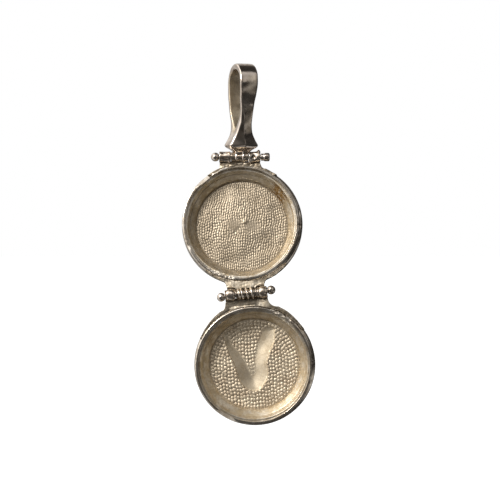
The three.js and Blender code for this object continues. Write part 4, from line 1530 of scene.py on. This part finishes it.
@dataclass
class Bail:
    """The loop that the locket hangs from: straps carried round an opening, a keeled front and a flared foot.

    Places along it are drops below the point where a chain bears. The spans of drops are where a mark on
    its front fades in and out.
    """

    at: Layout
    yaw: float = 22.0
    crown_radius: float = 3.85
    crown_thickness: float = 1.35
    crown_lean: float = 0.45
    strap: float = 0.9
    crown_half_width: float = 1.95
    waist_half_width: float = 1.34
    waist_drop: float = 9.6
    opening: float = 12.1
    opening_foot: float = 4.0
    opening_power: float = 2.5
    strap_end_rise: float = 1.2
    taper_drop: float = 7.4
    neck_drop: float = 14.4
    neck_half_depth: float = 2.0
    flare_power: float = 2.5
    foot_half_width: float = 3.2
    foot_edge: float = 0.4
    foot_rise: float = 2.1
    tongue_half_width: float = 1.75
    tongue_half_depth: float = 1.0
    tongue_start: float = 0.86
    keel: float = 0.75
    keel_side: float = -0.5
    dip: float = 0.2
    dip_drops: Span = (5.0, 7.4)
    keel_drops: Span = (7.2, 12.5)
    turn_drop: float = 9.5
    facet_drops: Span = (8.0, 10.0)
    facet_end: float = 0.6
    streak_drops: tuple[Span, Span] = ((0.8, 1.6), (4.6, 5.6))
    crown_wear_drops: tuple[Span, Span] = ((0.9, 1.7), (4.9, 5.8))
    foot_wear_drops: tuple[Span, Span] = ((7.2, 8.4), (12.8, 13.6))
    front_share: Span = (0.88, 0.95)
    left_edge: Span = (0.8, 0.88)
    facet_painted_dark: float = 0.6
    streak_painted_dark: float = 0.5
    crown_wear: float = 0.55
    foot_wear: float = 0.495
    corner_power: float = 6.0
    side_steps: int = 30
    crown_steps: int = 56
    strap_steps: int = 64
    foot_steps: int = 112
    knuckle_half: float = 1.8
    knuckle_root: float = 1.0
    knuckle_crest: float = 1.15
    tongue_sink: float = 0.4
    posts: tuple[float, float] = (-0.95, 0.5)
    post_half: Span = (0.297, 0.33)
    post_turn: Span = (63.0769231, 125.0)
    post_radius: float = 1.02
    post_steps: int = 24

    @property
    def crown_drop(self) -> float:
        """The drop of the crown's centre."""
        return self.crown_radius - self.strap

    @property
    def foot_drop(self) -> float:
        """The drop at which the foot is widest."""
        return self.at.bail_length - self.foot_rise - self.foot_edge

    @property
    def tongue_drop(self) -> float:
        """The drop of the tongue's end, just inside the knuckle."""
        return self.at.bail_length - self.knuckle_crest + self.tongue_sink

    def half_width(self, drop: Array) -> Array:
        """Half the width: from crown to waist, a flare by a power to the foot, then in to the tongue.

        Args:
            drop: The drops.

        Returns:
            Half the width at each.
        """
        to_waist = smooth(drop, self.crown_drop - self.strap, self.waist_drop)
        upper = mix(self.crown_half_width, self.waist_half_width, to_waist)
        to_foot = np.clip((drop - self.waist_drop) / (self.foot_drop - self.waist_drop), 0, 1)
        lower = mix(self.waist_half_width, self.foot_half_width, to_foot**self.flare_power)
        to_tongue = smooth(drop, self.foot_drop + 0.5 * self.foot_edge, self.foot_drop + 1.5)
        tongue = mix(self.foot_half_width, self.tongue_half_width, to_tongue)
        return np.where(drop < self.waist_drop, upper, np.where(drop < self.foot_drop, lower, tongue))

    def half_depth(self, drop: Array) -> Array:
        """Half the outer depth below the crown's centre: the crown's less a dip, the neck's, the tongue's.

        Args:
            drop: The drops.

        Returns:
            Half the depth at each.
        """
        body = mix(self.crown_radius, self.neck_half_depth, smooth(drop, self.taper_drop, self.neck_drop))
        body = body - self.dip * smooth(drop, *self.dip_drops)
        to_tongue = smooth(drop, self.foot_drop + self.foot_edge, self.tongue_drop)
        tongue = mix(self.neck_half_depth - self.dip, self.tongue_half_depth, to_tongue)
        return np.where(drop > self.foot_drop, tongue, body)

    def opening_half_depth(self, drop: Array) -> Array:
        """Half the opening's depth: the outer one less a strap, closing by a power at its foot."""
        closing = np.clip((drop - self.opening + self.opening_foot) / self.opening_foot, 0, 1)
        return (self.half_depth(drop) - self.strap) * np.sqrt(1 - closing**self.opening_power)

    def stations(self) -> tuple[Array, Array]:
        """Pairs of points round the loop, on the opening and on the outside, as depth and drop.

        Returns:
            The opening's points and the outside's, from the crown down the rear and up the front.
        """
        turn = np.linspace(0, np.pi / 2, self.crown_steps)
        crown = self.crown_drop + self.crown_thickness
        inner = [np.stack([self.crown_drop * np.sin(turn), self.crown_drop * (1 - np.cos(turn))], -1)]
        outer = [np.stack([self.crown_radius * np.sin(turn), self.crown_drop - crown * np.cos(turn)], -1)]
        end = self.opening - self.strap_end_rise
        drop = np.linspace(self.crown_drop, end, self.strap_steps)[1:]
        inner.append(np.stack([self.opening_half_depth(drop), drop], -1))
        outer.append(np.stack([self.half_depth(drop), drop], -1))
        share = np.linspace(0, 1, self.foot_steps + 1)[1:]
        low = mix(end, self.opening, np.sin(share * np.pi / 2))
        out = np.minimum(mix(end, self.tongue_drop, share / self.tongue_start), self.tongue_drop)
        sole = 1 - np.clip((share - self.tongue_start) / (1 - self.tongue_start), 0, 1)
        inner.append(np.stack([self.opening_half_depth(low), low], -1))
        outer.append(np.stack([self.half_depth(out) * sole, out], -1))
        inner, outer = np.concatenate(inner), np.concatenate(outer)
        front = [line[1:-1][::-1] * [-1, 1] for line in (inner, outer)]
        return np.concatenate([inner, front[0]]), np.concatenate([outer, front[1]])

    def loop(self) -> Skin:
        """The loop's skin.

        A superellipse is carried round the opening: its share runs from the opening to the outside, and its
        side from the left edge to the right. The keel is a ridge on the front that fades into crown and
        foot. The left facet and a streak under the crown are darkened, a painted dark reflection, and two
        patches on the right of the front are worn.

        Returns:
            The skin, with the value inside on the opening's face and the worn patches.
        """
        inner, outer = self.stations()
        power = self.corner_power
        run = 0.5 ** (1 / power) * np.sin(np.linspace(-np.pi / 2, np.pi / 2, self.side_steps, endpoint=False))
        flat = (1 - np.abs(run) ** power) ** (1 / power)
        side = np.concatenate([run, flat, -run, -flat])[None]
        share = 0.5 + 0.5 * np.concatenate([flat, -run, -flat, run])[None]
        depth = mix(inner[:, :1], outer[:, :1], share)
        drop = mix(inner[:, 1:], outer[:, 1:], share)
        facing = np.where(depth < 0, share, 0)
        ridge = self.keel * band(drop, self.keel_drops, (self.foot_drop, self.tongue_drop))
        keel = self.keel_side * (1 - smooth(drop, self.turn_drop, self.foot_drop))
        peak = np.where(side > keel, (1 - side) / (1 - keel), (1 + side) / (1 + keel))
        lean = self.crown_lean * (1 - smooth(drop, 0, self.waist_drop))
        across = side * self.half_width(drop) + lean
        points = np.stack([across, depth - ridge * facing * peak, -drop], axis=-1)
        points[..., ACROSS] += lumps(points, 5, 0.03, 4.0)
        points[..., DEPTH] += lumps(points, 6, 0.02, 3.0)
        points = LOCKET.turned(ACROSS, DEPTH, self.yaw).put(points)
        front = smooth(facing, *self.front_share)
        # painted dark reflection: the left facet and a streak under the crown are darkened
        left_front = (1 - smooth(-side, *self.left_edge)) * front
        facet = smooth(keel - side, 0.0, 0.1) * left_front
        facet = facet * band(drop, self.facet_drops, (self.foot_drop, self.foot_drop + self.facet_end))
        painted_streak = (1 - smooth(side + 0.12 * drop, 0.0, 0.7)) * left_front * band(drop, *self.streak_drops)
        worn = self.crown_wear * band(drop, *self.crown_wear_drops) * smooth(side, -0.5, 0.1)
        worn = worn + self.foot_wear * band(drop, *self.foot_wear_drops) * smooth(side - keel, 0.05, 0.2)
        opening = (1 - smooth(share, 0.12, 0.3)) * smooth(drop, 0.0, 0.6)
        recess = self.facet_painted_dark * facet + self.streak_painted_dark * painted_streak
        values = {"inside": np.maximum(opening, worn * front), "recess": recess}
        return grid_skin(points, along=True, values=values)

    def post(self, across: float) -> Skin:
        """A post under the foot: a rod that runs down the tongue's front and bends round the knuckle.

        Args:
            across: Where it stands.

        Returns:
            The post's skin.
        """
        turn = np.radians(np.linspace(*self.post_turn, self.post_steps))
        front, above = -self.post_radius * np.sin(turn), self.post_radius * np.cos(turn)
        bend = np.stack([np.full(self.post_steps, across), front, above], -1) - [0, 0, self.at.bail_length]
        top = np.array([across, -self.knuckle_crest, -self.foot_drop - 0.25])
        share = np.linspace(0, 1, self.post_steps, endpoint=False)[:, None]
        return swept(np.concatenate([mix(top, bend[0], share), bend]), *self.post_half)

    def knuckle(self) -> Section:
        """The knuckle's section: a root with two raised rings.

        Returns:
            The section.
        """
        half, root, crest = self.knuckle_half, self.knuckle_root, self.knuckle_crest
        left_ring = [(-0.85, root, 0.06), (-0.78, crest, 0.08), (-0.45, crest, 0.08), (-0.36, root, 0.08)]
        right_ring = [(0.55, root, 0.08), (0.64, crest, 0.08), (1.05, crest, 0.08), (1.15, root, 0.06)]
        left_end = [(-half, BORE, 0.04), (-half, root, 0.08)]
        right_end = [(half, root, 0.08), (half, BORE, 0.04)]
        return left_end + left_ring + right_ring + right_end

    def build(self, shop: Workshop) -> None:
        """Builds and dresses the loop with its posts, and its knuckle.

        Args:
            shop: The workshop.
        """
        skins = [self.loop()] + [self.post(across) for across in self.posts]
        shop.dress(make_piece("bail_strap", LOCKET, skins), BAIL_METAL, "bail", "bail_loop")
        Barrel("bail_barrel", "bail_knuckle", "bail", self.at.bail_knuckle, self.knuckle(), 11).build(shop)


def pin_part(name: str, node: str, body: str, place: Place, section: Section, seed: int) -> Barrel:
    """A pin's wire or end: solid and clean, in the pins' own metal.

    Args:
        name: The piece's name.
        node: The CAD node that it replaces.
        body: The body that it moves with.
        place: The hinge's frame.
        section: Its section along the axis.
        seed: What its unevenness is drawn from.

    Returns:
        The part.
    """
    return Barrel(name, node, body, place, section, seed, PIN_METAL, bored=False, grime_and_shade=0.0)


@dataclass
class Hinges:
    """The two hinges: lugs, knuckles and pins. Spans and openings are measured from a hinge's middle."""

    at: Layout
    bail_span: float = 4.3
    bail_opening: float = 1.9
    case_opening: float = 2.3
    ball_gap: float = 0.12
    wire_past_seat: float = 1.0
    flange_at: float = 1.85
    ribbed_length: float = 4.5
    rib_centres: tuple[float, ...] = (-1.2, -0.2, 0.86, 1.5)
    rib_lean: float = -0.16
    sleeve_at: float = 3.3

    def lugs(self) -> list[Lug]:
        """The lugs, with their solder spots and the sleeve lines round the lid hinge's outer knuckles.

        Returns:
            The bail hinge's lug, the upper case's and the lower case's.
        """
        at = self.at
        bail_spots = (
            Spot(-3.6, -2.1, 0.45, 0.3, 0.12, 1.0),
            Spot(0.1, -1.4, 0.45, 0.16, 0.1, 1.0),
            Spot(1.25, -1.45, 0.4, 0.16, 0.1, 1.0),
            Spot(2.6, -1.65, 0.35, 0.2, 0.1, 0.9),
            Spot(-1.6, -1.8, 0.5, 0.2, 0.08, 0.5),
        )
        upper_spots = (Spot(0.2, -2.3, 2.3, 1.0, 0.05, 0.9),)
        lower_spots = (
            Spot(3.5, -2.6, 1.3, 1.0, 0.12, 1.0),
            Spot(-0.6, -2.9, 2.5, 0.4, 0.1, 0.9),
            Spot(-2.9, -3.0, 0.8, 0.3, 0.08, 0.8),
        )
        upper_sleeves = tuple(Sleeve(side * self.sleeve_at, 1.8, 1.0) for side in (-1, 1))
        lower_sleeves = tuple(Sleeve(side * self.sleeve_at, 1.75, 0.6) for side in (-1, 1))
        return [
            Lug("bail_lug_plate", "bail_hinge_lug", "upper_case", at.upper_case, at.bail_hinge, 21, 0.1, 0.0,
                bail_spots),
            Lug("upper_lug_plate", "upper_case_lug", "upper_case", at.upper_case, at.upper_half, 22,
                0.7, 0.06, upper_spots, upper_sleeves),
            Lug("lower_lug_plate", "lower_case_lug", "lower_case", at.lower_case, at.lower_half, 23,
                0.3, 0.06, lower_spots, lower_sleeves),
        ]

    def bail_hinge(self) -> list[Barrel]:
        """The bail hinge's two dented tubes, and its pin with a ball on the left end and a cap on the right.

        Returns:
            The tubes, the pin's wire and its ends.
        """
        hinge, near, far = self.at.bail_hinge, self.bail_opening, self.bail_span
        left_dents = (Dent(-2.9, 125.0, 1.0, 16.0, 0.2), Dent(-3.4, 65.0, 0.4, 14.0, 0.06),
                      Dent(-2.2, 180.0, 0.3, 40.0, -0.35))
        right_dents = (Dent(2.9, 100.0, 0.42, 26.0, 0.45), Dent(3.95, 15.0, 0.32, 24.0, -0.4),
                       Dent(2.2, 180.0, 0.3, 40.0, -0.35))
        seat = far + self.ball_gap
        wire = rod(seat + self.wire_past_seat, (-self.flange_at, self.flange_at))
        return [
            Barrel("bail_tube_left", "bail_hinge_knuckle_left", "upper_case", hinge, tube(-far, -near), 31,
                   dents=left_dents),
            Barrel("bail_tube_right", "bail_hinge_knuckle_right", "upper_case", hinge, tube(near, far), 32,
                   dents=right_dents),
            pin_part("bail_rod", "bail_pin", "bail_pin", hinge, wire, 33),
            pin_part("bail_rod_ball", "bail_pin_ball", "bail_pin", hinge, ball(-seat, -1), 34),
            pin_part("bail_rod_cap", "bail_pin_cap", "bail_pin", hinge, thimble(seat), 35),
        ]

    def lid_hinge(self) -> list[Barrel]:
        """The lid hinge's ribbed barrel between two knobs, and its pin with a ball on each end.

        Returns:
            The knuckles, the pin's wire and its ends.
        """
        upper, lower, hinge = self.at.upper_half, self.at.lower_half, self.at.case_pin
        near, far = self.case_opening, self.at.lid_span
        seat = far + self.ball_gap
        wire = rod(seat + self.wire_past_seat)
        return [
            Barrel("ribbed_barrel", "upper_case_knuckle", "upper_case", upper,
                   ribs(self.rib_centres, self.ribbed_length), 41, lean=self.rib_lean),
            Barrel("lower_tube_left", "lower_case_knuckle_left", "lower_case", lower,
                   knob(-far, -near, 0.2), 42, uneven=0.04, crest=1.0),
            Barrel("lower_tube_right", "lower_case_knuckle_right", "lower_case", lower,
                   knob(near, far, 0.35), 43, uneven=0.04, crest=1.0),
            pin_part("case_rod", "case_pin", "case_pin", hinge, wire, 44),
            pin_part("case_rod_ball_left", "case_pin_ball_left", "case_pin", hinge, ball(-seat, -1), 45),
            pin_part("case_rod_ball_right", "case_pin_ball_right", "case_pin", hinge, ball(seat, 1), 46),
        ]

    def build(self, shop: Workshop) -> None:
        """Builds and dresses every part of both hinges."""
        for part in (*self.lugs(), *self.bail_hinge(), *self.lid_hinge()):
            part.build(shop)


def cases(at: Layout) -> list[CaseBand | CaseFloor]:
    """The two cases, each a wall and a floor.

    Args:
        at: The locket's layout.

    Returns:
        The upper wall, the lower wall, the upper floor and the lower floor.
    """
    nick_angle, upper_floor_edge = 130.0, 9.62
    upper_scratches = (
        Scratch((-1.7, -1.5), (-0.1, 0.3), 0.28, 0.03),
        Scratch((0.5, 0.9), (0.62, 1.0), 0.4, -0.17),
        Scratch((-0.2, -0.6), (1.7, -1.3), 0.1, 0.04),
    )
    upper_worn = (((-1.7, 0.2), (1.1, 1.3)), ((1.9, 0.1), (1.2, 1.0)), ((-2.9, 6.3), (0.7, 0.6)))
    return [
        # the walls' painted shade: 0.36 on the upper inner wall, 0.25 on the lower
        CaseBand("upper_wall", "upper_case_band", "upper_case", at.upper_case, nick_angle, 51, (-0.28, 0.2),
                 (-125.0, -96.0), 0.36, stain=(28.0, 52.0), floor_edge=upper_floor_edge),
        CaseBand("lower_wall", "lower_case_band", "lower_case", at.lower_case, at.skew - nick_angle, 52,
                 (-0.2, -0.2), (38.0, 68.0), 0.25, painted_shade_span=(40.0, 170.0), groove_shade_and_grime=0.15),
        CaseFloor("upper_punched_floor", "upper_case_floor", "upper_case", at.upper_case, Pebbles.COLUMNS,
                  (0.5, 0.6), 0.085, 61, UPPER_FLOOR_SHADED_METAL, worn=upper_worn, scratches=upper_scratches,
                  most_bare=0.8, stretch=1.22, gap_dirt=0.3, floor_edge=upper_floor_edge),
        CaseFloor("lower_punched_floor", "lower_case_floor", "lower_case", at.lower_case, Pebbles.RINGS,
                  (0.68, 0.74), 0.12, 62, LOWER_FLOOR_METAL, Hollow(), bow=0.12, waver=0.07),
    ]


@dataclass(frozen=True)
class Glow:
    """A round patch of the surroundings: its direction, the angles where it is full and ends, its level."""

    towards: tuple[float, float, float]
    full: float
    end: float
    level: float

    def over(self, graph: Graph, direction: Socket, below: Socket) -> Socket:
        """Lays the patch over a level.

        Args:
            graph: The graph to build in.
            direction: The ray's direction.
            below: The level under the patch.

        Returns:
            The level with the patch.
        """
        unit = tuple(np.array(self.towards) / np.linalg.norm(self.towards))
        dot = graph.add("ShaderNodeVectorMath", {0: direction, 1: unit}, operation="DOT_PRODUCT")
        start, full = (math.cos(math.radians(angle)) for angle in (self.end, self.full))
        inputs = {"Value": dot.outputs["Value"], "From Min": start, "From Max": full}
        soft = graph.add("ShaderNodeMapRange", inputs, interpolation_type="SMOOTHSTEP")
        return graph.between(soft.outputs[0], below, self.level)


@dataclass
class Studio:
    """The pale floor, the light and the camera at the photograph's angle.

    Centre is the middle of the view, across and up. Room and sideways are the surroundings' level from
    straight down to straight up and from left to right, and the glows lie over them in their order. The
    lamp's place and aim, and the floor's reach, are in metres.
    """

    centre: Span = (1.833, -37.67)
    view_width: float = 104.17
    lens: float = 200.0
    sensor: float = 36.0
    clip: Span = (0.01, 100.0)
    rim_depth: float = -2.5
    floor_level: float = -92.0
    floor_reach: float = 20.0
    floor_seen: Colour = (0.3, 0.3, 0.3)
    floor_unseen: Colour = (0.02, 0.02, 0.02)
    floor_glow: float = 0.93
    lamp_size: float = 0.16
    lamp_power: float = 3.0
    lamp_colour: Colour = (1.0, 0.97, 0.92)
    lamp_place: tuple[float, float, float] = (-0.38, -0.42, 0.33)
    lamp_aim: tuple[float, float, float] = (0.002, 0.0, -0.038)
    room: tuple[Span, ...] = (
        (0.0, 0.1), (0.15, 0.06), (0.34, 0.03), (0.46, 0.06), (0.53, 0.2), (0.65, 0.3), (0.85, 0.32),
        (0.94, 0.07), (1.0, 0.05),
    )
    sideways: tuple[Span, ...] = ((0.0, 1.0), (0.5, 1.0), (0.75, 0.5), (1.0, 0.16))
    glows: tuple[Glow, ...] = (
        Glow((-0.31, 0.9, 0.32), 24.0, 50.0, 0.58),
        Glow((-0.95, -0.1, 0.1), 20.0, 50.0, 1.2),
        Glow((-0.66, 0.3, 0.69), 18.0, 42.0, 1.4),
        Glow((-0.6, 0.0, -0.8), 14.0, 40.0, 0.7),
        Glow((-0.78, -0.58, 0.22), 10.0, 25.0, 1.8),
        Glow((0.0, -1.0, -0.08), 7.0, 26.0, 0.1),
        Glow((0.56, -0.45, 0.66), 10.0, 24.0, 0.6),
        Glow((0.64, -0.66, 0.36), 8.0, 19.0, 0.75),
        Glow((0.45, -0.79, -0.41), 7.0, 17.0, 0.45),
        Glow((0.88, -0.02, -0.48), 10.0, 25.0, 0.62),
        Glow((-0.45, -0.56, 0.69), 20.0, 38.0, 2.2),
    )

    def camera(self) -> None:
        """Sets the camera level in front of the locket, far enough to take in the view's width."""
        data = bpy.data.cameras.new("camera")
        data.lens, data.sensor_width = self.lens, self.sensor
        data.clip_start, data.clip_end = self.clip
        obj = new_object("camera", data)
        distance = self.view_width * self.lens / self.sensor
        obj.location = (self.centre[0] * MM, (self.rim_depth - distance) * MM, self.centre[1] * MM)
        obj.rotation_euler = (math.pi / 2, 0.0, 0.0)
        bpy.context.scene.camera = obj

    def surroundings(self) -> bpy.types.NodeTree:
        """What metal reflects, as a level for each direction.

        It is a dim room that darkens downwards and to the right, with the glows laid over it in their
        order, the white background behind the locket first.

        Returns:
            The surroundings as a group.
        """
        graph, source, target = new_group("surroundings", (), ("Level",))
        towards = {0: source.outputs["Vector"]}
        direction = graph.add("ShaderNodeVectorMath", towards, operation="NORMALIZE").outputs[0]
        split = graph.add("ShaderNodeSeparateXYZ", {0: direction})
        x, z = (graph.plus(graph.times(split.outputs[key], 0.5), 0.5) for key in ("X", "Z"))
        level = graph.times(graph.ramp(z, self.room), graph.ramp(x, self.sideways))
        for glow in self.glows:
            level = glow.over(graph, direction, level)
        graph.feed(target, {"Level": level})
        return graph.tree

    def world(self, around: bpy.types.NodeTree) -> None:
        """Lights the locket from all round, while the camera sees plain white.

        Args:
            around: The surroundings group.
        """
        world = bpy.data.worlds.new("studio")
        bpy.context.scene.world = world
        world.use_nodes = True
        graph = Graph(world.node_tree)
        where = graph.add("ShaderNodeTexCoord").outputs["Generated"]
        level = graph.add("ShaderNodeGroup", node_tree=around)
        graph.feed(level, {"Vector": where})
        camera = graph.add("ShaderNodeLightPath").outputs["Is Camera Ray"]
        strength = graph.between(camera, level.outputs["Level"], 1.0)
        colour = graph.blend(camera, WARM_WHITE, WHITE)
        graph.feed(world.node_tree.nodes["Background"], {"Color": colour, "Strength": strength})

    def lamp(self) -> None:
        """Sets a soft square lamp at the upper left in front."""
        data = bpy.data.lights.new("key", "AREA")
        data.shape, data.size = "SQUARE", self.lamp_size
        data.energy, data.color = self.lamp_power, self.lamp_colour
        obj = new_object("key", data)
        obj.location = self.lamp_place
        aim = np.array(self.lamp_aim) - np.array(obj.location)
        pitch, yaw = math.acos(-aim[UP] / np.linalg.norm(aim)), math.atan2(aim[DEPTH], aim[ACROSS])
        obj.rotation_euler = (pitch, 0.0, yaw - math.pi / 2)

    def floor(self, around: bpy.types.NodeTree) -> None:
        """The pale floor: white to the camera with the locket's shadow, and the surroundings to a reflection.

        Args:
            around: The surroundings group, read from the locket's middle towards each point of the floor.
        """
        reach, low = self.floor_reach, self.floor_level * MM
        mesh = bpy.data.meshes.new("floor")
        corners = [(-reach, -reach, low), (reach, -reach, low), (reach, reach, low), (-reach, reach, low)]
        mesh.from_pydata(corners, [], [(0, 1, 2, 3)])
        material, graph, shader = new_material("pale_floor")
        rays = graph.add("ShaderNodeLightPath").outputs
        camera = rays["Is Camera Ray"]
        where = graph.add("ShaderNodeTexCoord").outputs["Object"]
        middle = (0.0, 0.0, self.centre[1] * MM)
        line = graph.add("ShaderNodeVectorMath", {0: where, 1: middle}, operation="SUBTRACT")
        level = graph.add("ShaderNodeGroup", node_tree=around)
        graph.feed(level, {"Vector": line.outputs[0]})
        mirrored = graph.math("MAXIMUM", rays["Is Glossy Ray"], rays["Is Transmission Ray"], False)
        mirrored = graph.times(level.outputs["Level"], mirrored)
        graph.feed(shader, {
            "Base Color": graph.blend(camera, self.floor_unseen, self.floor_seen),
            "Roughness": 0.9,
            "Specular IOR Level": 0.0,
            "Emission Color": graph.blend(camera, WARM_WHITE, WHITE),
            "Emission Strength": graph.plus(graph.times(camera, self.floor_glow), mirrored),
        })
        mesh.materials.append(material)
        new_object("floor", mesh)

    def build(self) -> None:
        """Builds the whole studio."""
        around = self.surroundings()
        self.camera()
        self.world(around)
        self.lamp()
        self.floor(around)
        bpy.context.scene.view_settings.view_transform = "Standard"


def main() -> None:
    """Loads the frame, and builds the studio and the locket."""
    logging.basicConfig(level=logging.INFO, format="%(name)s %(message)s")
    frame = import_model()
    shop = Workshop(frame)
    at = Layout()
    Studio().build()
    for part in (Bail(at), Hinges(at), *cases(at)):
        part.build(shop)


if __name__ == "__main__":
    main()
